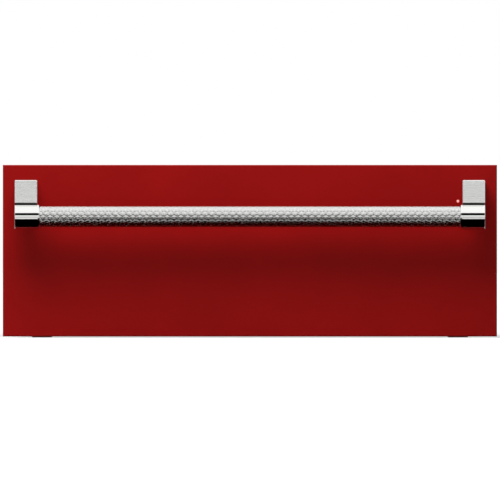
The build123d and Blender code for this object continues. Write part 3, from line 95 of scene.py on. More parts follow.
class FrontSettings(bpy.types.PropertyGroup):
    """The red front and its light."""

    enamel: colour_setting("Enamel", "Colour of the front's enamel", srgb(144, 15, 14))
    texture_depth: length_setting("Texture depth", "Height of the fine ripple in the enamel", 0.00003)
    light: colour_setting("Light", "Colour of the lit end of the light pipe", srgb(255, 120, 116))
    light_strength: FloatProperty(
        name="Light strength", description="How bright the light is", default=0.9, min=0.0, max=10.0
    )


class HandleSettings(bpy.types.PropertyGroup):
    """The knurled bar and its polished collars."""

    knurl_length: length_setting("Knurl length", "Length of one diamond along the bar", 0.01056)
    knurl_count: IntProperty(
        name="Knurl count", description="Diamonds round the bar", default=22, min=6, max=60
    )
    knurl_depth: length_setting("Knurl depth", "Depth of the grooves", 0.0003)
    knurl_crest: FloatProperty(
        name="Knurl crest", description="Share of a diamond that stands at full height", default=0.62,
        min=0.1, max=0.95, subtype="FACTOR"
    )
    collar_length: length_setting("Collar length", "Length of a collar along the bar", 0.0375)
    edge_round: length_setting("Edge round", "Rounding of the collars' edges", 0.0008)


class ControlSettings(bpy.types.PropertyGroup):
    """The selector, its scale and the rocker."""

    marks: colour_setting("Marks", "Colour of the pointer and the rocker's marks", srgb(226, 226, 222))
    scale: colour_setting("Scale", "Colour of the scale on the fascia", srgb(24, 24, 26))
    digit_height: length_setting("Digit height", "Height of the scale's numbers", 0.0032)
    steps: IntProperty(name="Steps", description="Numbered steps on the scale", default=4, min=1, max=9)


class CaseSettings(bpy.types.PropertyGroup):
    """Fasteners of the case."""

    screw_diameter: length_setting("Screw head", "Diameter of the case's screw heads", 0.0076)
    screw_height: length_setting("Screw head height", "Height of the case's screw heads", 0.0020)
    rivet_diameter: length_setting("Rivet head", "Diameter of the rivet heads", 0.0058)


class StudioSettings(bpy.types.PropertyGroup):
    """Camera, lamps and floor."""

    camera_distance: FloatProperty(
        name="Camera distance", description="From the front's face to the camera", default=32.0, min=1.0,
        unit="LENGTH"
    )
    view_width: FloatProperty(
        name="View width", description="Width of the picture at the front's face", default=0.768, min=0.1,
        unit="LENGTH"
    )
    view_rise: FloatProperty(
        name="View rise", description="Picture's middle above the middle of the front", default=0.0011,
        unit="LENGTH"
    )
    top_light: FloatProperty(
        name="Top light", description="Power of the lamp above the front", default=39.5, min=0.0, unit="POWER"
    )
    fill: FloatProperty(
        name="Fill", description="Light that comes evenly from all sides", default=0.32, min=0.0, max=2.0
    )


# ---------------------------------------------------------------- finishes


class Finish:
    """A material made of nodes, all placed by the object's own coordinates."""

    def __init__(self, name, colour, roughness, metallic=0.0):
        self.material = bpy.data.materials.new(name)
        self.material.use_nodes = True
        self.tree = self.material.node_tree
        self.shader = self.tree.nodes["Principled BSDF"]
        self.set(Base_Color=colour, Roughness=roughness, Metallic=metallic)
        self.place = self.tree.nodes.new("ShaderNodeTexCoord").outputs["Object"]

    def set(self, **values):
        """Set the shader's own values."""
        for name, value in values.items():
            self.shader.inputs[name.replace("_", " ")].default_value = value

    def put(self, socket, value):
        """Link an output to a socket, or set the socket's own value."""
        if isinstance(value, bpy.types.NodeSocket):
            self.tree.links.new(value, socket)
        else:
            socket.default_value = value

    def stretched(self, x, y, z):
        """Coordinates stretched along the axes, for grain that runs one way."""
        mapping = self.tree.nodes.new("ShaderNodeMapping")
        mapping.inputs["Scale"].default_value = (x, y, z)
        self.put(mapping.inputs["Vector"], self.place)
        return mapping.outputs["Vector"]

    def noise(self, scale, detail=3.0, place=None, roughness=0.55):
        """Soft irregular variation from 0 to 1."""
        noise = self.tree.nodes.new("ShaderNodeTexNoise")
        noise.inputs["Scale"].default_value = scale
        noise.inputs["Detail"].default_value = detail
        noise.inputs["Roughness"].default_value = roughness
        self.put(noise.inputs["Vector"], place or self.place)
        return noise.outputs["Fac"]

    def cells(self, scale, feature="F1", output="Distance"):
        """Irregular cells, such as spangle."""
        cells = self.tree.nodes.new("ShaderNodeTexVoronoi")
        cells.feature = feature
        cells.inputs["Scale"].default_value = scale
        self.put(cells.inputs["Vector"], self.place)
        return cells.outputs[output]

    def spread(self, factor, low, high, source=(0.3, 0.7)):
        """A factor spread over a range of numbers."""
        ranged = self.tree.nodes.new("ShaderNodeMapRange")
        ranged.inputs["From Min"].default_value = source[0]
        ranged.inputs["From Max"].default_value = source[1]
        ranged.inputs["To Min"].default_value = low
        ranged.inputs["To Max"].default_value = high
        self.put(ranged.inputs["Value"], factor)
        return ranged.outputs["Result"]

    def blend(self, factor, first, second):
        """One colour turning into another."""
        mix = self.tree.nodes.new("ShaderNodeMix")
        mix.data_type = "RGBA"
        self.put(mix.inputs["Factor"], factor)
        self.put(mix.inputs["A"], first)
        self.put(mix.inputs["B"], second)
        return mix.outputs["Result"]

    def colour(self, factor, first, second, source=(0.3, 0.7)):
        """Let the colour follow a factor."""
        mixed = self.blend(self.spread(factor, 0.0, 1.0, source), first, second)
        self.put(self.shader.inputs["Base Color"], mixed)

    def roughness(self, factor, low, high, source=(0.3, 0.7)):
        """Let the roughness follow a factor."""
        self.put(self.shader.inputs["Roughness"], self.spread(factor, low, high, source))

    def relief(self, height, distance, strength):
        """Let a height in metres show as relief; a second call lies on the first."""
        bump = self.tree.nodes.new("ShaderNodeBump")
        bump.inputs["Distance"].default_value = distance
        bump.inputs["Strength"].default_value = strength
        self.put(bump.inputs["Height"], height)
        before = self.shader.inputs["Normal"].links
        if before:
            self.put(bump.inputs["Normal"], before[0].from_socket)
        self.put(self.shader.inputs["Normal"], bump.outputs["Normal"])


def shade(colour, factor):
    """The same colour, lighter or darker."""
    return tuple(min(1.0, c * factor) for c in colour[:3]) + (1.0,)


def mottled(name, patches, colours, roughness, metallic=0.0, haze=None, relief=None):
    """A finish that drifts in soft patches. Haze is the roughness's own pattern, relief a fine texture."""
    finish = Finish(name, colours[0], roughness[0], metallic)
    patch = finish.noise(*patches)
    finish.colour(patch, *colours)
    finish.roughness(finish.noise(*haze) if haze else patch, *roughness)
    if relief:
        scale, detail, depth, strength = relief
        finish.relief(finish.noise(scale, detail), depth, strength)
    return finish


def red_enamel():
    """Red powder enamel: a very fine ripple under a soft gloss, with faint polishing haze."""
    settings = bpy.context.scene.drawer_front
    colour = tuple(settings.enamel)
    finish = mottled("red enamel", (9.0, 2.0), (shade(colour, 0.95), shade(colour, 1.05)), (0.38, 0.48),
                     haze=(60.0, 4.0), relief=(1400.0, 2.0, settings.texture_depth, 0.6))
    finish.set(Specular_IOR_Level=0.06)
    return finish.material


def brushed(name, colour, roughness, contrast=0.08, depth=0.00001):
    """Steel with a brushed grain along x."""
    finish = Finish(name, colour, roughness, 1.0)
    grain = finish.noise(1.0, 4.0, finish.stretched(9.0, 900.0, 900.0), 0.6)
    low = finish.blend(finish.spread(finish.noise(7.0, 2.0), 0.0, 1.0), shade(colour, 1 - contrast), colour)
    finish.colour(grain, low, shade(colour, 1 + contrast))
    finish.roughness(grain, roughness - 0.06, roughness + 0.10)
    finish.relief(grain, depth, 0.5)
    return finish.material


def stainless_sheet():
    """Brushed stainless steel sheet."""
    return brushed("stainless sheet", srgb(205, 205, 203), 0.32)


def satin_steel():
    """The posts' fine satin grain."""
    return brushed("satin steel", srgb(238, 238, 236), 0.24, 0.02, 0.000002)


def polished_steel():
    """Polished steel with faint haze."""
    finish = Finish("polished steel", srgb(230, 230, 228), 0.05, 1.0)
    finish.roughness(finish.noise(120.0, 3.0), 0.03, 0.06)
    finish.relief(finish.noise(300.0, 2.0), 0.000004, 0.3)
    return finish.material


def knurled_steel():
    """The bar's bright steel, with fine tool marks."""
    return mottled("knurled steel", (700.0, 3.0), (srgb(206, 206, 204), srgb(228, 228, 226)), (0.21, 0.28),
                   1.0, relief=(2500.0, 2.0, 0.00001, 0.4)).material


def zinc_plate():
    """Bright zinc plating, slightly blue, with a rolled grain and light handling marks."""
    finish = Finish("zinc plate", srgb(196, 200, 204), 0.30, 1.0)
    streak = finish.noise(1.0, 3.0, finish.stretched(300.0, 12.0, 300.0))
    finish.colour(streak, srgb(176, 181, 187), srgb(208, 211, 214))
    finish.roughness(finish.noise(90.0, 4.0), 0.22, 0.42)
    finish.relief(streak, 0.00001, 0.4)
    return finish.material


def galvanised_sheet():
    """Hot-dip galvanised sheet: pale spangle of flat crystals, each with its own sheen."""
    finish = Finish("galvanised sheet", srgb(178, 182, 184), 0.42, 0.85)
    crystal = finish.tree.nodes.new("ShaderNodeSeparateColor")
    finish.put(crystal.inputs["Color"], finish.cells(130.0, "F1", "Color"))
    sheen = crystal.outputs["Red"]
    finish.colour(sheen, srgb(171, 175, 178), srgb(189, 192, 193), (0.0, 1.0))
    finish.roughness(sheen, 0.38, 0.50, (0.0, 1.0))
    finish.relief(finish.noise(25.0, 3.0), 0.0002, 0.15)
    return finish.material


def liner_sheet():
    """Aluminised steel sheet, dull and even, with faint heat tint."""
    return mottled("liner sheet", (6.0, 3.0), (srgb(176, 176, 173), srgb(166, 161, 150)), (0.40, 0.56), 0.9,
                   haze=(160.0, 3.0), relief=(900.0, 2.0, 0.00001, 0.4)).material


def mineral_wool():
    """Pressed mineral fibre: yellow-brown, matt, with lying fibres."""
    finish = Finish("mineral wool", srgb(176, 164, 128), 0.95)
    fibre = finish.noise(1.0, 5.0, finish.stretched(260.0, 60.0, 900.0), 0.7)
    clump = finish.noise(55.0, 4.0)
    colour = finish.blend(finish.spread(fibre, 0.0, 1.0), srgb(150, 136, 98), srgb(196, 186, 152))
    half_dark = finish.blend(finish.spread(clump, 0.0, 0.5), colour, srgb(128, 116, 84))
    finish.put(finish.shader.inputs["Base Color"], half_dark)
    finish.relief(fibre, 0.0008, 0.8)
    finish.relief(clump, 0.0015, 0.5)
    finish.set(Specular_IOR_Level=0.1)
    return finish.material


def clear_plastic():
    """Clear acrylic with light in it."""
    settings = bpy.context.scene.drawer_front
    finish = Finish("clear plastic", srgb(240, 170, 168), 0.12)
    haze = finish.noise(800.0, 2.0)
    finish.roughness(haze, 0.08, 0.2)
    finish.relief(haze, 0.00001, 0.3)
    finish.set(Emission_Color=tuple(settings.light), Emission_Strength=settings.light_strength, IOR=1.49)
    return finish.material


def black_rubber():
    """Moulded rubber with a dusty bloom."""
    return mottled("black rubber", (40.0, 5.0), (srgb(28, 28, 28), srgb(50, 49, 47)), (0.72, 0.92),
                   relief=(1200.0, 3.0, 0.00005, 0.6)).material


def element_sheath():
    """Heat-darkened steel tube."""
    return mottled("element sheath", (22.0, 4.0), (srgb(70, 66, 62), srgb(112, 104, 92)), (0.42, 0.62), 0.8,
                   relief=(700.0, 3.0, 0.00002, 0.5)).material


def brass_terminal():
    """Bright brass with a little tarnish."""
    return mottled("brass", (180.0, 4.0), (srgb(188, 150, 80), srgb(216, 182, 110)), (0.22, 0.4),
                   1.0).material


def grey_silicone():
    """Soft grey silicone with a fine matt skin."""
    finish = mottled("grey silicone", (300.0, 3.0), (srgb(96, 96, 94), srgb(112, 112, 109)), (0.52, 0.68),
                     relief=(1500.0, 2.0, 0.00003, 0.5))
    finish.set(Subsurface_Weight=0.05)
    return finish.material


def bearing_steel():
    """Oiled bearing steel."""
    return mottled("bearing steel", (150.0, 3.0), (srgb(188, 184, 174), srgb(212, 212, 210)), (0.10, 0.26),
                   1.0).material


def black_plastic():
    """Moulded black plastic with a spark-eroded texture."""
    return mottled("black plastic", (70.0, 3.0), (srgb(26, 26, 27), srgb(36, 36, 37)), (0.38, 0.56),
                   haze=(1600.0, 3.0), relief=(1600.0, 3.0, 0.00004, 0.5)).material


def circuit_board():
    """Green solder mask over copper tracks."""
    finish = Finish("circuit board", srgb(28, 92, 58), 0.35)
    edge = finish.spread(finish.cells(260.0, "DISTANCE_TO_EDGE"), 0.0, 1.0, (0.02, 0.10))
    finish.colour(edge, srgb(52, 128, 78), srgb(22, 78, 50), (0.0, 1.0))
    finish.relief(edge, 0.00004, 0.4)
    return finish.material


def wire_sleeve():
    """Woven glass-fibre sleeve over a bundle of leads."""
    finish = Finish("wire sleeve", srgb(196, 190, 176), 0.8)
    weave = finish.noise(1.0, 2.0, finish.stretched(1200.0, 500.0, 1200.0))
    finish.colour(weave, srgb(170, 163, 148), srgb(212, 207, 194))
    finish.relief(weave, 0.0002, 0.8)
    return finish.material


def printed(name, colour):
    """Screen-printed marks, slightly uneven."""
    return mottled(name, (2000.0, 3.0), (shade(colour, 0.88), colour), (0.42, 0.6)).material


def white_print():
    """The pale marks on the knob and the rocker."""
    return printed("white print", tuple(bpy.context.scene.drawer_controls.marks))


def black_print():
    """The dark scale on the steel fascia."""
    return printed("black print", tuple(bpy.context.scene.drawer_controls.scale))


def screw_recess():
    """Painted shade for the walls and floor of a screw's cross recess, dark grey in place of the zinc."""
    return mottled("screw recess shade", (900.0, 3.0), (srgb(40, 40, 41), srgb(78, 79, 81)), (0.6, 0.6),
                   0.7).material


FINISHES = {made.__name__: made for made in (
    red_enamel, stainless_sheet, mineral_wool, clear_plastic, knurled_steel, polished_steel, satin_steel,
    zinc_plate, galvanised_sheet, liner_sheet, black_rubber, element_sheath, brass_terminal, grey_silicone,
    bearing_steel, black_plastic, circuit_board, wire_sleeve, white_print, black_print, screw_recess,
)}
MADE = {}


def finish_for(name):
    """The finish of that name, made once."""
    if name not in MADE:
        MADE[name] = FINISHES[name]()
    return MADE[name]


# ---------------------------------------------------------------- shaping


def circle(radius, steps):
    """Points round a circle."""
    turns = [2 * math.pi * i / steps for i in range(steps)]
    return [(radius * math.cos(turn), radius * math.sin(turn)) for turn in turns]


class Shape:
    """A mesh under way, in millimetres, in the frame's own axes."""

    def __init__(self):
        self.mesh = bmesh.new()

    def vertex(self, point):
        """One vertex."""
        return self.mesh.verts.new(Vector(point) * MM)

    def ring(self, points):
        """A loop of vertices."""
        return [self.vertex(point) for point in points]

    def round_ring(self, place, along, radius, segments):
        """A round loop about the z axis of a placement, or its tip where the radius is nothing."""
        if radius < 1e-6:
            return self.ring([place @ Vector((0, 0, along))])
        return self.ring([place @ Vector((x, y, along)) for x, y in circle(radius, segments)])

    def face(self, loop, material=0):
        """One face on a loop of vertices."""
        self.mesh.faces.new(loop).material_index = material

    def bridge(self, first, second, material=0):
        """Join two loops with faces; either may be a tip."""
        count = max(len(first), len(second))
        for i in range(count):
            j = (i + 1) % count
            near = first if len(first) == 1 else (first[i], first[j])
            far = second if len(second) == 1 else (second[j], second[i])
            self.face((*near, *far), material)

    def skin(self, loops, closed=False):
        """Join loops in a row, and close the ends with faces or with each other."""
        for first, second in zip(loops, loops[1:]):
            self.bridge(first, second)
        if closed:
            self.bridge(loops[-1], loops[0])
        else:
            for end in (loops[0], loops[-1]):
                if len(end) > 1:
                    self.face(end)

    def lathe(self, profile, place, segments=48):
        """Turn an open profile of (distance along, radius) round the z axis of a placement."""
        loops = [self.round_ring(place, along, radius, segments) for along, radius in profile]
        for first, second in zip(loops, loops[1:]):
            self.bridge(first, second)

    def piece(self, name, body, slot, finish=None, more=(), smooth=35.0):
        """Turn the mesh into a piece that rides on a body."""
        bmesh.ops.recalc_face_normals(self.mesh, faces=self.mesh.faces)
        data = bpy.data.meshes.new(name)
        self.mesh.to_mesh(data)
        self.mesh.free()
        made = bpy.data.objects.new(name, data)
        bpy.context.scene.collection.objects.link(made)
        for material in (finish or slot, *more):
            data.materials.append(finish_for(material))
        if smooth:
            data.shade_smooth()
            data.set_sharp_from_angle(angle=math.radians(smooth))
        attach(made, body)
        return made


def facing(position, direction):
    """A placement whose z axis points along a direction."""
    turn = Vector(direction).to_track_quat("Z", "Y").to_matrix().to_4x4()
    return Matrix.Translation(Vector(position)) @ turn


def rounded(corners, radius, steps=4):
    """A profile whose corners are rounded off."""
    line = [corners[0]]
    for before, corner, after in zip(corners, corners[1:], corners[2:]):
        here = Vector(corner)
        before, after = Vector(before) - here, Vector(after) - here
        reach = min(radius, before.length / 2.05, after.length / 2.05)
        start = here + before.normalized() * reach
        end = here + after.normalized() * reach
        for k in range(steps + 1):
            t = k / steps
            line.append(tuple(start * (1 - t) ** 2 + here * 2 * t * (1 - t) + end * t ** 2))
    return line + [corners[-1]]


def cross_head(shape, place, radius, height, segments=24):
    """A pan head with a cross recess, standing on z = 0 of its placement."""
    pan = [(0.0, 0.96), (0.25, 1.0), (0.7, 0.93), (1.0, 0.72)]  # shares of the height and the radius
    floor_size, floor_height = 0.8, 0.35  # shares of the cross and the height
    loops = [shape.round_ring(place, height * along, radius * size, segments) for along, size in pan]
    for first, second in zip(loops, loops[1:]):
        shape.bridge(first, second)
    arm, half = radius * 0.52, radius * 0.13
    cross = [(arm, half), (half, half), (half, arm), (-half, arm), (-half, half), (-arm, half),
             (-arm, -half), (-half, -half), (-half, -arm), (half, -arm), (half, -half), (arm, -half)]
    top = shape.ring([place @ Vector((x, y, height)) for x, y in cross])
    floor = shape.ring([
        place @ Vector((x * floor_size, y * floor_size, height * floor_height)) for x, y in cross
    ])
    # the recess's walls and floor take the second finish, which is painted shade
    shape.bridge(top, floor, 1)
    shape.face(floor, 1)
    edges = []
    for loop in (loops[-1], top):
        edges += [shape.mesh.edges.get(pair) for pair in zip(loop, loop[1:] + loop[:1])]
    bmesh.ops.triangle_fill(shape.mesh, edges=edges, use_beauty=True)


def dome_head(shape, place, radius, height, segments=20):
    """A low domed rivet head."""
    turns = [math.pi / 2 * k / 4 for k in range(5)]
    shape.lathe([(height * math.sin(turn), radius * math.cos(turn)) for turn in turns], place, segments)


def along_path(shape, path, section, closed=False):
    """Sweep a section of (sideways, upwards) along a path of (point, sideways, upwards)."""
    shape.skin([
        shape.ring([Vector(point) + Vector(side) * s + Vector(up) * u for s, u in section])
        for point, side, up in path
    ], closed)


# ---------------------------------------------------------------- pieces
# Their named lengths are in millimetres, and the stage's are in metres.


class DRAWER_OT_frame_finishes(bpy.types.Operator):
    """Give every piece of the fixed frame the finish that its record names"""

    bl_idname = "drawer.frame_finishes"
    bl_label = "Finishes of the frame"

    def execute(self, context):
        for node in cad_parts.values():
            for place in node.material_slots:
                slot = place.material.name.split(".")[0]
                if slot not in FINISHES:
                    raise RuntimeError(f"{node.name} has no finish for {slot}")
                place.material = finish_for(slot)
        return {"FINISHED"}


class DRAWER_OT_edges(bpy.types.Operator):
    """Round the edges of folded and cut sheet pieces a little, so that they catch light"""

    bl_idname = "drawer.edges"
    bl_label = "Sheet edges"

    ROUNDED = {
        "front_panel": 0.45, "handle_bracket_left": 0.35, "handle_bracket_right": 0.35, "power_rocker": 0.5,
        "switch_housing": 0.4, "selector_switch": 0.3, "rubber_feet": 0.6, "control_fascia": 0.2,
        "face_frame": 0.25, "drawer_tub": 0.25, "vent_slider": 0.2, "casing_top": 0.25, "rear_panel": 0.2,
    }
    SHARP_ANGLE = 32

    def execute(self, context):
        for name, width in self.ROUNDED.items():
            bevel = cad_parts[name].modifiers.new("edge", "BEVEL")
            bevel.width = width * MM
            bevel.segments = 2
            bevel.limit_method = "ANGLE"
            bevel.angle_limit = math.radians(self.SHARP_ANGLE)
            bevel.harden_normals = True
        return {"FINISHED"}


class DRAWER_OT_handle_bar(bpy.types.Operator):
    """The bar with its knurl of long staggered diamonds, cut as real relief"""

    bl_idname = "drawer.handle_bar"
    bl_label = "Knurled bar"

    END_GAP = 0.8       # from the knurl to the collar
    NECK = 0.9          # plain neck past the knurl, inside the collar
    NECK_OVERLAP = 0.05
    NECK_STEP = 1.6     # how far the neck's end turns in
    SAG = 0.5           # share of the chord's depth that a crest's side corners lie lower

    def execute(self, context):
        sizes = context.scene.drawer_handle
        low, high = box("handle_bar")
        centre = (low + high) / 2
        radius = (high.z - low.z) / 2 - SKIN
        root = radius - sizes.knurl_depth / MM
        crest = sizes.knurl_crest
        rows = 2 * sizes.knurl_count
        step = 2 * math.pi / rows
        end = box("handle_collars")[1].x - sizes.collar_length / MM - self.END_GAP
        columns = 2 * round(2 * end / (sizes.knurl_length / MM))
        half = 2 * end / columns
        flank = radius - (1 - math.cos(step * crest)) * radius * self.SAG
        shape = Shape()
        valleys = {}

        def vertex(x, turn, size):
            return shape.vertex((x, centre.y + size * math.sin(turn), centre.z + size * math.cos(turn)))

        def valley(column, row):
            key = (column, row % rows)
            if key not in valleys:
                valleys[key] = vertex(column * half - end, key[1] * step, root)
            return valleys[key]

        for column in range(columns + 1):
            x = column * half - end
            whole = 0 < column < columns
            for row in range(column % 2, rows, 2):
                turn = row * step
                feet, crown = [], []
                for across, around in ((-1, 0), (0, -1), (1, 0), (0, 1)):
                    inside = 0 <= column + across <= columns
                    feet.append([valley(column + across, row + around)] if inside else [])
                    reach = across * half * crest if inside else 0.0
                    size = flank if around else radius
                    crown.append(vertex(x + reach, turn + around * step * crest, size))
                top = vertex(x, turn, radius) if whole else None
                for i in range(4):
                    j = (i + 1) % 4
                    shape.face((*feet[i], *feet[j], crown[j], crown[i]))
                    if whole:
                        shape.face((crown[i], crown[j], top))
                if not whole:
                    shape.face(crown)
        axis = Matrix.Translation((0, centre.y, centre.z)) @ Matrix.Rotation(math.pi / 2, 4, "Y")
        tip = end + self.NECK
        neck = [(end - self.NECK_OVERLAP, root), (tip, root), (tip, radius - self.NECK_STEP)]
        for side in (-1, 1):
            shape.lathe([(side * along, size) for along, size in neck], axis, rows)
        bar = shape.piece("knurled_bar", "drawer", "knurled_steel", smooth=14.0)
        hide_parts("handle_bar")
        return {"FINISHED"}


class DRAWER_OT_collars(bpy.types.Operator):
    """Polished collars that close the bar's ends, with eased edges and a fine groove at the inner end"""

    bl_idname = "drawer.collars"
    bl_label = "Collars"

    WALL_GAP = 0.06         # how far the collar stays inside the fixed one
    GROOVE_START = 4.0      # from the inner end
    GROOVE_END = 3.4
    GROOVE_DEPTH = 0.35
    INNER_EASE = 1.2
    SOCKET_GAP = 0.05       # round the bar
    SOCKET_DEPTH = 3.0

    def execute(self, context):
        sizes = context.scene.drawer_handle
        low, high = box("handle_collars")
        centre = (low + high) / 2
        radius = (high.z - low.z) / 2 - self.WALL_GAP
        bar_low, bar_high = box("handle_bar")
        socket = (bar_high.z - bar_low.z) / 2 + self.SOCKET_GAP
        length = sizes.collar_length / MM
        groove = (length - self.GROOVE_START, length - self.GROOVE_END)
        profile = rounded([(0.0, 0.0), (0.0, radius), (groove[0], radius)], sizes.edge_round / MM, 5)
        profile += [(along, radius - self.GROOVE_DEPTH) for along in groove]
        profile += rounded([(groove[1], radius), (length, radius), (length, socket)], self.INNER_EASE, 5)
        profile.append((length - self.SOCKET_DEPTH, socket))
        for side, name in ((-1, "left"), (1, "right")):
            shape = Shape()
            shape.lathe(profile, facing((side * high.x, centre.y, centre.z), (-side, 0, 0)), 96)
            collar = shape.piece("collar_" + name, "drawer", "polished_steel", smooth=30.0)
            if side > 0:
                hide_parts("handle_collars")
        return {"FINISHED"}


class DRAWER_OT_light(bpy.types.Operator):
    """The lit, slightly domed end of the light pipe in its hole"""

    bl_idname = "drawer.light"
    bl_label = "Light pipe"

    WALL_GAP = 0.01
    DOME = 0.6

    def execute(self, context):
        low, high = box("light_pipe")
        centre = (low + high) / 2
        radius = (high.x - low.x) / 2 - self.WALL_GAP
        length = high.y - low.y
        turns = [math.radians(degrees) for degrees in range(90, -1, -15)]
        dome = [(length - self.DOME * (1 - math.cos(turn)), radius * math.sin(turn)) for turn in turns]
        place = facing((centre.x, high.y, centre.z), (0, -1, 0))
        shape = Shape()
        shape.lathe([(0.0, 0.0), (0.0, radius)] + dome, place, 32)
        pipe = shape.piece("light_pipe_domed", "drawer", "clear_plastic", smooth=50.0)
        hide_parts("light_pipe")
        return {"FINISHED"}


class DRAWER_OT_post_seals(bpy.types.Operator):
    """Thin black strips in the gaps between the posts and the collars, painted shade that stands for the
    shadow in these gaps
    """

    bl_idname = "drawer.post_seals"
    bl_label = "Post shade strips"

    THICKNESS = 1.72
    LIP = 1.6           # how far out from the collar the strip's ends are measured
    SIDE_INSET = 0.35
    FRONT_INSET = 0.3
    BACK_END = 13.6     # behind the bar's axis

    def execute(self, context):
        low, high = box("handle_collars")
        centre = (low + high) / 2
        inner = (high.z - low.z) / 2 + SKIN
        for side in ("left", "right"):
            post_low, post_high = box("handle_bracket_" + side)
            start, end = post_low.x + self.SIDE_INSET, post_high.x - self.SIDE_INSET
            first = math.asin((post_low.y + self.FRONT_INSET - centre.y) / (inner + self.LIP))
            last = math.asin(self.BACK_END / (inner + self.LIP))
            outer = inner + self.THICKNESS
            shape = Shape()
            loops = []
            for k in range(15):
                turn = first + (last - first) * k / 14
                loops.append(shape.ring([
                    (x, centre.y + size * math.sin(turn), centre.z + size * math.cos(turn))
                    for size, x in ((inner, start), (inner, end), (outer, end), (outer, start))
                ]))
            shape.skin(loops)
            # black strips that stand for the shadow in the gaps: painted shade
            shape.piece("post_seal_" + side, "drawer", "black_rubber", smooth=30.0)
        return {"FINISHED"}


class DRAWER_OT_feet(bpy.types.Operator):
    """Moulded feet with a ribbed skirt, a rounded sole and a recessed screw"""

    bl_idname = "drawer.feet"
    bl_label = "Rubber feet"

    WIDE = 18.6             # radius at the top
    SOLE = 15.6             # radius at the bottom
    INSET = 19.0            # from the fixed feet's outer corner to their middle
    TAPER = 0.19
    RIBS = 5
    RIB_START = 1.2         # from the top to the first rib
    RIB_PITCH = 1.7
    RIB_HALF = 0.5          # half a rib's height
    RIB_DEPTH = 0.55
    RIB_STEP = 0.1          # what a rib's lower edge lies further in than its upper one
    SOLE_EDGE = 3.0         # height where the skirt turns in to the sole
    SOLE_SLOPE = 0.5
    SOLE_ROUND = 1.2
    RECESS = 5.6            # radius of the screw's recess
    RECESS_CHAMFER = 0.6
    SCREW_HEIGHT = 6.5
    SCREW_HEAD = (3.9, 2.0)  # radius and height

    def execute(self, context):
        low, high = box("rubber_feet")
        top = high.z
        profile = [(top, 0.0), (top, self.WIDE)]
        for k in range(self.RIBS):
            z = top - self.RIB_START - k * self.RIB_PITCH
            radius = self.WIDE - (top - z) * self.TAPER
            profile += [(z, radius), (z - self.RIB_HALF, radius - self.RIB_DEPTH)]
            profile.append((z - 2 * self.RIB_HALF, radius - self.RIB_STEP))
        skirt = (self.SOLE_EDGE, self.SOLE + self.SOLE_SLOPE)
        mouth = (0.0, self.RECESS + self.RECESS_CHAMFER)
        profile += rounded([skirt, (0.0, self.SOLE), mouth], self.SOLE_ROUND, 4)
        profile.append((self.RECESS_CHAMFER, self.RECESS))
        profile += [(self.SCREW_HEIGHT, self.RECESS), (self.SCREW_HEIGHT, 0.0)]
        feet, screws = Shape(), Shape()
        for x in (low.x + self.INSET, high.x - self.INSET):
            for y in (low.y + self.INSET, high.y - self.INSET):
                feet.lathe(profile, Matrix.Translation((x, y, 0)), 48)
                cross_head(screws, facing((x, y, self.SCREW_HEIGHT), (0, 0, -1)), *self.SCREW_HEAD)
        made = feet.piece("moulded_feet", "case", "black_rubber", smooth=38.0)
        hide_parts("rubber_feet")
        screws.piece("foot_screws", "case", "zinc_plate", more=("screw_recess",))
        return {"FINISHED"}


class DRAWER_OT_gasket(bpy.types.Operator):
    """A bulb seal with a flat foot, bent round the opening"""

    bl_idname = "drawer.gasket"
    bl_label = "Bulb seal"

    INSET = 4.0         # from the seal's outside to its middle
    CORNER = 8.0
    FOOT = 3.9          # half the foot's width
    FOOT_EDGE = 0.9
    NECK = (2.6, 1.3)
    BULB = (2.5, 2.3)   # half the bulb's width and height
    BULB_GAP = 0.1      # from the bulb to the fixed seal's back

    def execute(self, context):
        low, high = box("drawer_gasket")
        depth = high.y - low.y
        left, right = low.x + self.INSET, high.x - self.INSET
        bottom, top = low.z + self.INSET, high.z - self.INSET
        path = []
        for x, z, start in ((right, top, 0), (left, top, 90), (left, bottom, 180), (right, bottom, 270)):
            centre_x = x - math.copysign(self.CORNER, x)
            centre_z = z - self.CORNER if z == top else z + self.CORNER
            for k in range(9):
                turn = math.radians(start + 90 * k / 8)
                out = Vector((math.cos(turn), 0, math.sin(turn)))
                point = Vector((centre_x, low.y, centre_z)) + out * self.CORNER
                path.append((point, out, (0, 1, 0)))
        width, height = self.BULB
        neck, rise = self.NECK
        section = [(-self.FOOT, 0.0), (self.FOOT, 0.0), (self.FOOT, self.FOOT_EDGE), (neck, rise)]
        for k in range(9):
            turn = math.radians(-10 + 200 * k / 8)
            rise_here = depth - self.BULB_GAP - height + height * math.sin(turn)
            section.append((width * math.cos(turn), rise_here))
        section += [(-neck, rise), (-self.FOOT, self.FOOT_EDGE)]
        shape = Shape()
        along_path(shape, path, section, closed=True)
        made = shape.piece("bulb_seal", "drawer", "grey_silicone", smooth=40.0)
        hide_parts("drawer_gasket")
        return {"FINISHED"}


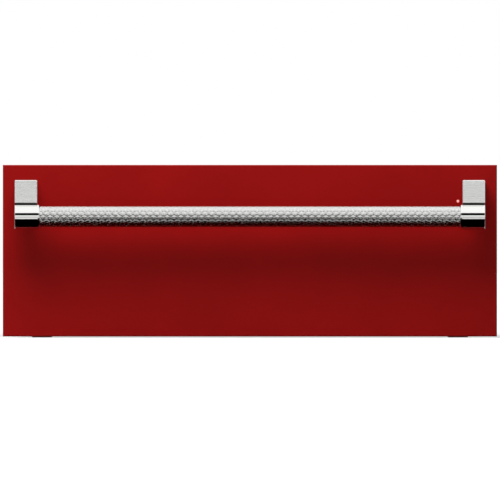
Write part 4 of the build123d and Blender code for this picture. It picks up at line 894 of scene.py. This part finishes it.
class DRAWER_OT_element(bpy.types.Operator):
    """The round element, bent in one loop between its two straight ends"""

    bl_idname = "drawer.element"
    bl_label = "Heating element"

    TERMINAL = 6.93     # half a terminal's width
    BACK_GAP = 70.0     # from the liner's back to the loop
    BEND = 16.0

    def bent(self, corners):
        """The line through the corners, with each corner bent to a radius."""
        line = [Vector(corners[0])]
        for before, here, after in zip(corners, corners[1:], corners[2:]):
            here = Vector(here)
            first = (Vector(before) - here).normalized()
            second = (Vector(after) - here).normalized()
            centre = here + (first + second) * self.BEND
            start = math.atan2(*(-second).yx)
            sweep = math.atan2(*(-first).yx) - start
            sweep = (sweep + math.pi) % (2 * math.pi) - math.pi
            for k in range(9):
                turn = start + sweep * k / 8
                line.append(centre + self.BEND * Vector((math.cos(turn), math.sin(turn))))
        return line + [Vector(corners[-1])]

    def execute(self, context):
        low, high = box("heating_element")
        terminal_low, terminal_high = box("element_terminals")
        radius = (high.z - low.z) / 2 - SKIN
        height = (low.z + high.z) / 2
        end_x = (terminal_high.x - terminal_low.x) / 2 - self.TERMINAL
        side_x = high.x - radius
        back_y = box("liner_back")[0].y - self.BACK_GAP
        corners = [(end_x, high.y), (end_x, back_y), (side_x, back_y), (side_x, low.y + radius)]
        line = self.bent(corners + [(-x, y) for x, y in reversed(corners)])
        path = []
        for i, point in enumerate(line):
            ahead = (line[min(i + 1, len(line) - 1)] - line[max(i - 1, 0)]).normalized()
            path.append(((*point, height), (-ahead.y, ahead.x, 0), (0, 0, 1)))
        shape = Shape()
        along_path(shape, path, circle(radius, 20))
        made = shape.piece("round_element", "case", "element_sheath", smooth=40.0)
        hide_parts("heating_element")
        return {"FINISHED"}


class DRAWER_OT_selector(bpy.types.Operator):
    """The fluted selector with its pointer line, and its scale on the fascia"""

    bl_idname = "drawer.selector"
    bl_label = "Selector and scale"

    WALL_GAP = 0.12
    FRONT_GAP = 0.8
    SKIRT_LIP = 1.7         # how far the skirt stands out past the grip
    FLUTES = 12
    FLUTE_DEPTH = 0.9
    TRAVEL = 240            # degrees
    MARKS_PER_STEP = 4
    SHEET = 1.0             # the fascia's thickness
    PRINT = 0.04            # how far the print stands off the sheet
    SCALE_GAP = 0.7         # from the skirt to the marks
    LONG_MARK = (1.1, 0.28)  # length and half the width
    SHORT_MARK = (0.7, 0.18)
    DIGIT_GAP = 2.1         # from the skirt to the numbers
    TYPE_SIZE = 1.35        # of the type, as a share of a number's height
    POINTER_HALF = 0.55     # half the pointer line's width
    POINTER_START = 2.0     # from the knob's middle
    POINTER_INSET = 1.3     # from the grip's edge
    POINTER_DEPTH = 0.35    # how far the line stands out

    def knob(self, low, high, centre):
        """The knob: a soft-edged fluted grip on a round skirt. Returns the skirt's radius."""
        skirt = (high.x - low.x) / 2 - self.WALL_GAP
        grip = skirt - self.SKIRT_LIP
        length = high.y - low.y - self.FRONT_GAP
        front = low.y + self.FRONT_GAP
        # distance from the front, radius, and share of the flutes' depth
        rows = [(0.0, grip - 2.6, 0.0), (0.0, grip - 1.2, 0.25), (0.25, grip - 0.55, 0.55),
                (0.9, grip - 0.15, 0.85), (2.0, grip, 1.0), (length - 3.4, grip + 0.25, 1.0),
                (length - 3.0, grip + 0.35, 0.6), (length - 2.9, skirt - 0.5, 0.0),
                (length - 2.4, skirt, 0.0), (length, skirt, 0.0), (length, skirt - 2.0, 0.0)]
        count = 12 * self.FLUTES
        shape = Shape()
        loops = []
        for along, radius, share in rows:
            points = []
            for i in range(count):
                turn = 2 * math.pi * i / count
                dip = share * self.FLUTE_DEPTH * (0.5 - 0.5 * math.cos(self.FLUTES * turn)) ** 1.5
                x, z = (radius - dip) * math.sin(turn), (radius - dip) * math.cos(turn)
                points.append((centre.x + x, front + along, centre.z + z))
            loops.append(shape.ring(points))
        shape.skin(loops)
        made = shape.piece("fluted_selector", "selector", "black_plastic", smooth=32.0)
        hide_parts("selector_knob")
        line = Shape()
        half, start, tip = self.POINTER_HALF, self.POINTER_START, grip - self.POINTER_INSET
        points = [(-half, tip), (half, tip), (half, start), (-half, start)]
        line.skin([
            line.ring([(centre.x + x, front - self.POINTER_DEPTH, centre.z + z) for x, z in points]),
            line.ring([(centre.x + x * 1.3, front + 0.05, centre.z + z * 1.02) for x, z in points]),
        ])
        line.piece("pointer_line", "selector", "black_plastic", "white_print", smooth=0)
        return skirt

    def digit(self, text, place, height):
        """A plain number of thin print, facing the front."""
        name = "scale_number_" + text
        curve = bpy.data.curves.new(name, "FONT")
        curve.body = text
        curve.size = height * self.TYPE_SIZE
        curve.align_x = "CENTER"
        curve.align_y = "CENTER"
        curve.extrude = self.PRINT / 2 * MM
        holder = bpy.data.objects.new(name, curve)
        mesh = bpy.data.meshes.new_from_object(holder)
        mesh.transform(Matrix.Translation(Vector(place) * MM) @ Matrix.Rotation(math.pi / 2, 4, "X"))
        bpy.data.objects.remove(holder)
        mesh.materials.clear()
        mesh.materials.append(finish_for("black_print"))
        made = bpy.data.objects.new(name, mesh)
        bpy.context.scene.collection.objects.link(made)
        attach(made, "case")

    def execute(self, context):
        sizes = context.scene.drawer_controls
        low, high = box("selector_knob")
        centre = middle("selector_shaft")
        skirt = self.knob(low, high, centre)
        face = box("control_fascia")[1].y - self.SHEET - self.PRINT
        ticks = Shape()
        for i in range(self.MARKS_PER_STEP * sizes.steps + 1):
            turn = math.radians(self.TRAVEL * i / (self.MARKS_PER_STEP * sizes.steps))
            length, half = self.SHORT_MARK if i % self.MARKS_PER_STEP else self.LONG_MARK
            inner = skirt + self.SCALE_GAP
            outer = inner + length
            along = Vector((math.sin(turn), 0, math.cos(turn)))
            across = Vector((math.cos(turn), 0, -math.sin(turn)))
            ticks.face(ticks.ring([
                Vector((centre.x, face, centre.z)) + along * reach + across * side
                for reach, side in ((inner, -half), (inner, half), (outer, half), (outer, -half))
            ]))
        ticks.piece("scale_marks", "case", "black_plastic", "black_print", smooth=0)
        reach = skirt + self.DIGIT_GAP + sizes.digit_height / MM / 2
        for i in range(sizes.steps + 1):
            turn = math.radians(self.TRAVEL * i / sizes.steps)
            place = (centre.x + reach * math.sin(turn), face, centre.z + reach * math.cos(turn))
            self.digit(str(i), place, sizes.digit_height)
        return {"FINISHED"}


class DRAWER_OT_fasteners(bpy.types.Operator):
    """Cross-head screws in the case and the front's backing, and rivets in the face frame and the slides"""

    bl_idname = "drawer.fasteners"
    bl_label = "Screws and rivets"

    FLANGE = 8.0                        # from the top's side to its row of screws
    SEAM = 6.0                          # from the rear panel to the screws that hold it
    SIDE_SCREWS = (52.0, 130.0, 208.0)  # heights
    FIRST_TOP_SCREW = 36.0              # behind the top's front edge
    MIDDLE_SCREWS = 170.0               # from the middle
    BACKING_EDGE = 7.0
    BACKING_HEAD = (3.0, 1.5)           # radius and height
    RIVETS = (34.0, 90.0, 146.0, 224.0)  # heights
    RIVET_RISE = 1.1                    # how far a rivet's head stands out
    SLIDE_WEB = 1.2
    SLIDE_RIVET = 22.0                  # from the slide's end
    SLIDE_RIVET_RISE = 0.7
    SLIDE_RIVET_SHARE = 1.1             # how much wider its head is than the others

    def case_screws(self, head, height):
        """Screws in the case's top and sides."""
        low, high = box("casing_top")
        seam_y = box("rear_panel")[0].y + self.SEAM
        first_y = low.y + self.FIRST_TOP_SCREW
        screws = Shape()
        for side in (-1, 1):
            for z in self.SIDE_SCREWS:
                cross_head(screws, facing((side * high.x, seam_y, z), (side, 0, 0)), head, height)
            for k in range(5):
                place = (side * (high.x - self.FLANGE), first_y + k * (seam_y - first_y) / 4, high.z)
                cross_head(screws, facing(place, (0, 0, 1)), head, height)
        for x in (-self.MIDDLE_SCREWS, 0.0, self.MIDDLE_SCREWS):
            cross_head(screws, facing((x, seam_y, high.z), (0, 0, 1)), head, height)
        screws.piece("case_screws", "case", "zinc_plate", more=("screw_recess",))

    def backing_screws(self):
        """Small screws round the front's backing."""
        low, high = box("front_backing")
        edge = self.BACKING_EDGE
        screws = Shape()
        for side in (-1, 1):
            heights = (low.z + 2 * edge, (low.z + high.z) / 2, high.z - 2 * edge)
            places = [(high.x - edge, z) for z in heights]
            places += [(self.MIDDLE_SCREWS, z) for z in (low.z + edge, high.z - edge)]
            for x, z in places:
                cross_head(screws, facing((side * x, high.y, z), (0, 1, 0)), *self.BACKING_HEAD)
        screws.piece("backing_screws", "drawer", "zinc_plate", more=("screw_recess",))

    def rivets(self, radius):
        """Rivets in the face frame and in the slides' inner members."""
        x = box("casing_top")[1].x - self.FLANGE
        y = box("face_frame")[0].y
        rivets = Shape()
        for side in (-1, 1):
            for z in self.RIVETS:
                dome_head(rivets, facing((side * x, y, z), (0, -1, 0)), radius, self.RIVET_RISE)
        rivets.piece("frame_rivets", "case", "stainless_sheet")

        low, high = box("slide_inner_right")
        first, last = low.y + self.SLIDE_RIVET, high.y - self.SLIDE_RIVET
        x, z = low.x + self.SLIDE_WEB, (low.z + high.z) / 2
        wide = radius * self.SLIDE_RIVET_SHARE
        rivets = Shape()
        for side in (-1, 1):
            for k in range(5):
                place = (side * x, first + k * (last - first) / 4, z)
                dome_head(rivets, facing(place, (side, 0, 0)), wide, self.SLIDE_RIVET_RISE)
        rivets.piece("slide_rivets", "drawer", "zinc_plate")

    def execute(self, context):
        sizes = context.scene.drawer_case
        self.case_screws(sizes.screw_diameter / MM / 2, sizes.screw_height / MM)
        self.backing_screws()
        self.rivets(sizes.rivet_diameter / MM / 2)
        return {"FINISHED"}


class DRAWER_OT_rocker_marks(bpy.types.Operator):
    """A line and a ring printed on the rocker's two faces"""

    bl_idname = "drawer.rocker_marks"
    bl_label = "Rocker marks"

    REACH = 0.27            # from the middle, as a share of the rocker's width
    PRINT = 0.03
    SIZE = 1.6
    RING_INSIDE = 1.15
    LINE_HALF = 0.24

    def seat(self, side):
        """A placement on the rocker's face, to the left or to the right of its middle."""
        low, high = box("power_rocker")
        x = (low.x + high.x) / 2 + side * (high.x - low.x) * self.REACH
        start = Vector((x, low.y - 20.0, (low.z + high.z) / 2)) * MM
        hit, place, normal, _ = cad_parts["power_rocker"].ray_cast(start, Vector((0, 1, 0)))
        if not hit:
            raise RuntimeError("the rocker's face isn't where its marks go")
        return facing(place / MM + normal * self.PRINT, normal)

    def execute(self, context):
        shape = Shape()
        left, right = self.seat(-1), self.seat(1)
        outer, inner = (shape.round_ring(left, 0, radius, 28) for radius in (self.SIZE, self.RING_INSIDE))
        shape.bridge(outer, inner)
        half, size = self.LINE_HALF, self.SIZE
        line = ((-half, -size), (half, -size), (half, size), (-half, size))
        shape.face(shape.ring([right @ Vector((x, y, 0)) for x, y in line]))
        shape.piece("rocker_marks", "rocker", "black_plastic", "white_print", smooth=0)
        return {"FINISHED"}


class DRAWER_OT_stage(bpy.types.Operator):
    """Camera, lamps, pale floor and the cards that the polished steel reflects"""

    bl_idname = "drawer.stage"
    bl_label = "Stage"

    CAMERA_SHIFT = 0.00015
    VIEW_END = 400.0                    # distance past which the camera shows nothing
    LAMP_PLACE = (-0.4, -0.86, 1.64)    # y is from the front's face
    LAMP_TARGET = 0.14                  # height
    LAMP_SIZE = (1.3, 0.95)
    FLOOR_HALF = 90.0
    FLOOR_HEIGHT = -0.0004
    FLOOR_SHADE = 0.45
    FLOOR_GLOW = (0.6, 2.2, 0.55, 0.92)  # from and to distance, from and to strength
    FLOOR_REFLECTION = 0.3
    CARD_HALF = 1.6
    CARD_STEPS = 8
    # name, degrees above the bar, strength and distance
    CURVED_CARDS = (("bright card", 34, 118, 1.2, 1.6), ("dark card", 13, 34, 0.0, 1.7))
    # name, half width, degrees below the bar and height
    FLOOR_CARDS = (("floor card", 1.6, 20, 0.001), ("long floor card", 0.30, 12, 0.002))

    def add(self, context, name, data):
        """An object of the stage."""
        made = bpy.data.objects.new(name, data)
        context.scene.collection.objects.link(made)
        return made

    def level(self, half, near, far, height):
        """Corners of a level sheet."""
        return [(-half, near, height), (half, near, height), (half, far, height), (-half, far, height)]

    def sheet(self, context, name, corners):
        """A flat four-sided sheet with an empty material. Returns the sheet and its node tree."""
        data = bpy.data.meshes.new(name)
        data.from_pydata([Vector(c) for c in corners], [], [(0, 1, 2, 3)])
        material = bpy.data.materials.new(name)
        material.use_nodes = True
        data.materials.append(material)
        made = self.add(context, name, data)
        return made, material.node_tree

    def card(self, context, name, corners, strength):
        """A flat card that only reflections show."""
        made, tree = self.sheet(context, name, corners)
        tree.nodes.clear()
        glow = tree.nodes.new("ShaderNodeEmission")
        glow.inputs["Color"].default_value = (1.0, 1.0, 1.0, 1.0)
        glow.inputs["Strength"].default_value = strength
        output = tree.nodes.new("ShaderNodeOutputMaterial")
        tree.links.new(glow.outputs["Emission"], output.inputs["Surface"])
        made.visible_camera = False
        made.visible_diffuse = False
        made.visible_shadow = False
        made.visible_transmission = False

    def camera(self, context, face):
        """The camera, level and square to the front."""
        studio = context.scene.drawer_studio
        data = bpy.data.cameras.new("camera")
        data.sensor_width = 36.0
        data.lens = data.sensor_width * studio.camera_distance / studio.view_width
        data.clip_end = self.VIEW_END
        made = self.add(context, "camera", data)
        height = middle("front_panel").z * MM + studio.view_rise
        made.location = (self.CAMERA_SHIFT, face - studio.camera_distance, height)
        made.rotation_euler = (math.pi / 2, 0.0, 0.0)
        context.scene.camera = made

    def lamp(self, context, face):
        """A soft rectangular lamp above the front, which metal doesn't show."""
        data = bpy.data.lights.new("overhead lamp", "AREA")
        data.shape = "RECTANGLE"
        data.size, data.size_y = self.LAMP_SIZE
        data.energy = context.scene.drawer_studio.top_light
        made = self.add(context, "overhead lamp", data)
        x, forward, height = self.LAMP_PLACE
        made.location = (x, face + forward, height)
        aim = Vector((0, face, self.LAMP_TARGET)) - made.location
        made.rotation_euler = aim.to_track_quat("-Z", "Y").to_euler()
        made.visible_camera = False
        made.visible_glossy = False

    def backdrop(self, context):
        """A white background that also shows in glass and metal, while less of it lights the object."""
        world = bpy.data.worlds.new("pale room")
        context.scene.world = world
        world.use_nodes = True
        tree = world.node_tree
        background = tree.nodes["Background"]
        background.inputs["Color"].default_value = (1.0, 1.0, 1.0, 1.0)
        path = tree.nodes.new("ShaderNodeLightPath")
        seen = path.outputs["Is Camera Ray"]
        for kind in ("Is Glossy Ray", "Is Transmission Ray"):
            larger = tree.nodes.new("ShaderNodeMath")
            larger.operation = "MAXIMUM"
            tree.links.new(seen, larger.inputs[0])
            tree.links.new(path.outputs[kind], larger.inputs[1])
            seen = larger.outputs[0]
        ranged = tree.nodes.new("ShaderNodeMapRange")
        ranged.inputs["To Min"].default_value = context.scene.drawer_studio.fill
        ranged.inputs["To Max"].default_value = 1.0
        tree.links.new(seen, ranged.inputs["Value"])
        tree.links.new(ranged.outputs["Result"], background.inputs["Strength"])

    def floor(self, context):
        """A wide pale floor that keeps the object's shadow."""
        half = self.FLOOR_HALF
        tree = self.sheet(context, "floor", self.level(half, -half, half, self.FLOOR_HEIGHT))[1]
        shader = tree.nodes["Principled BSDF"]
        shader.inputs["Base Color"].default_value = (*[self.FLOOR_SHADE] * 3, 1.0)
        shader.inputs["Roughness"].default_value = 0.9
        shader.inputs["Specular IOR Level"].default_value = 0.0
        shader.inputs["Emission Color"].default_value = (1.0, 1.0, 1.0, 1.0)
        place = tree.nodes.new("ShaderNodeTexCoord")
        distance = tree.nodes.new("ShaderNodeVectorMath")
        distance.operation = "LENGTH"
        tree.links.new(place.outputs["Object"], distance.inputs[0])
        paler = tree.nodes.new("ShaderNodeMapRange")
        for name, value in zip(("From Min", "From Max", "To Min", "To Max"), self.FLOOR_GLOW):
            paler.inputs[name].default_value = value
        tree.links.new(distance.outputs["Value"], paler.inputs["Value"])
        path = tree.nodes.new("ShaderNodeLightPath")
        total = None
        for kind in ("Is Camera Ray", "Is Glossy Ray", "Is Transmission Ray"):
            part = tree.nodes.new("ShaderNodeMath")
            part.operation = "MULTIPLY_ADD"
            part.inputs[1].default_value = self.FLOOR_REFLECTION
            part.inputs[2].default_value = 0.0
            tree.links.new(path.outputs[kind], part.inputs[0])
            if total:
                tree.links.new(total, part.inputs[2])
            else:
                tree.links.new(paler.outputs["Result"], part.inputs[1])
            total = part.outputs[0]
        tree.links.new(total, shader.inputs["Emission Strength"])

    def cards(self, context, face):
        """The cards that draw the bands on the collars: two curved ones above and two flat ones below."""
        low, high = box("handle_collars")
        bar_y, bar_z = (low.y + high.y) / 2 * MM, (low.z + high.z) / 2 * MM
        for name, start, end, strength, distance in self.CURVED_CARDS:
            edges = []
            for k in range(self.CARD_STEPS + 1):
                angle = math.radians(start + (end - start) * k / self.CARD_STEPS)
                edges.append((bar_y - distance * math.cos(angle), bar_z + distance * math.sin(angle)))
            for k, (first, last) in enumerate(zip(edges, edges[1:])):
                corners = [(-self.CARD_HALF, *first), (self.CARD_HALF, *first),
                           (self.CARD_HALF, *last), (-self.CARD_HALF, *last)]
                self.card(context, f"{name} {k}", corners, strength)
        for name, half, depression, height in self.FLOOR_CARDS:
            near = bar_y - bar_z / math.tan(math.radians(depression))
            self.card(context, name, self.level(half, near, face, height), 0.0)

    def execute(self, context):
        face = box("front_panel")[0].y * MM
        self.camera(context, face)
        self.floor(context)
        self.backdrop(context)
        self.lamp(context, face)
        self.cards(context, face)
        context.scene.view_settings.view_transform = "Standard"
        return {"FINISHED"}


OPERATORS = (
    DRAWER_OT_frame_finishes,
    DRAWER_OT_edges,
    DRAWER_OT_handle_bar,
    DRAWER_OT_collars,
    DRAWER_OT_light,
    DRAWER_OT_post_seals,
    DRAWER_OT_feet,
    DRAWER_OT_gasket,
    DRAWER_OT_element,
    DRAWER_OT_selector,
    DRAWER_OT_fasteners,
    DRAWER_OT_rocker_marks,
    DRAWER_OT_stage,
)
SETTINGS = {
    "drawer_front": FrontSettings,
    "drawer_handle": HandleSettings,
    "drawer_controls": ControlSettings,
    "drawer_case": CaseSettings,
    "drawer_studio": StudioSettings,
}


class DRAWER_PT_panel(bpy.types.Panel):
    """The pieces and their settings"""

    bl_idname = "DRAWER_PT_panel"
    bl_label = "Warming Drawer"
    bl_space_type = "VIEW_3D"
    bl_region_type = "UI"
    bl_category = "Warming Drawer"

    def draw(self, context):
        for operator in OPERATORS:
            self.layout.operator(operator.bl_idname)
        for name, group in SETTINGS.items():
            rows = self.layout.box()
            rows.label(text=group.__doc__)
            for field in group.__annotations__:
                rows.prop(getattr(context.scene, name), field)


def register():
    """Add the settings, the operators and the panel."""
    for name, group in SETTINGS.items():
        bpy.utils.register_class(group)
        setattr(bpy.types.Scene, name, PointerProperty(type=group))
    for made in (*OPERATORS, DRAWER_PT_panel):
        bpy.utils.register_class(made)


def unregister():
    """Remove them again."""
    for made in (DRAWER_PT_panel, *reversed(OPERATORS)):
        bpy.utils.unregister_class(made)
    for name, group in SETTINGS.items():
        delattr(bpy.types.Scene, name)
        bpy.utils.unregister_class(group)


def main():
    """Build every piece and the stage."""
    register()
    bpy.ops.drawer.frame_finishes()
    bpy.ops.drawer.edges()
    bpy.ops.drawer.handle_bar()
    bpy.ops.drawer.collars()
    bpy.ops.drawer.light()
    bpy.ops.drawer.post_seals()
    bpy.ops.drawer.feet()
    bpy.ops.drawer.gasket()
    bpy.ops.drawer.element()
    bpy.ops.drawer.selector()
    bpy.ops.drawer.fasteners()
    bpy.ops.drawer.rocker_marks()
    bpy.ops.drawer.stage()


if __name__ == "__main__":
    main()
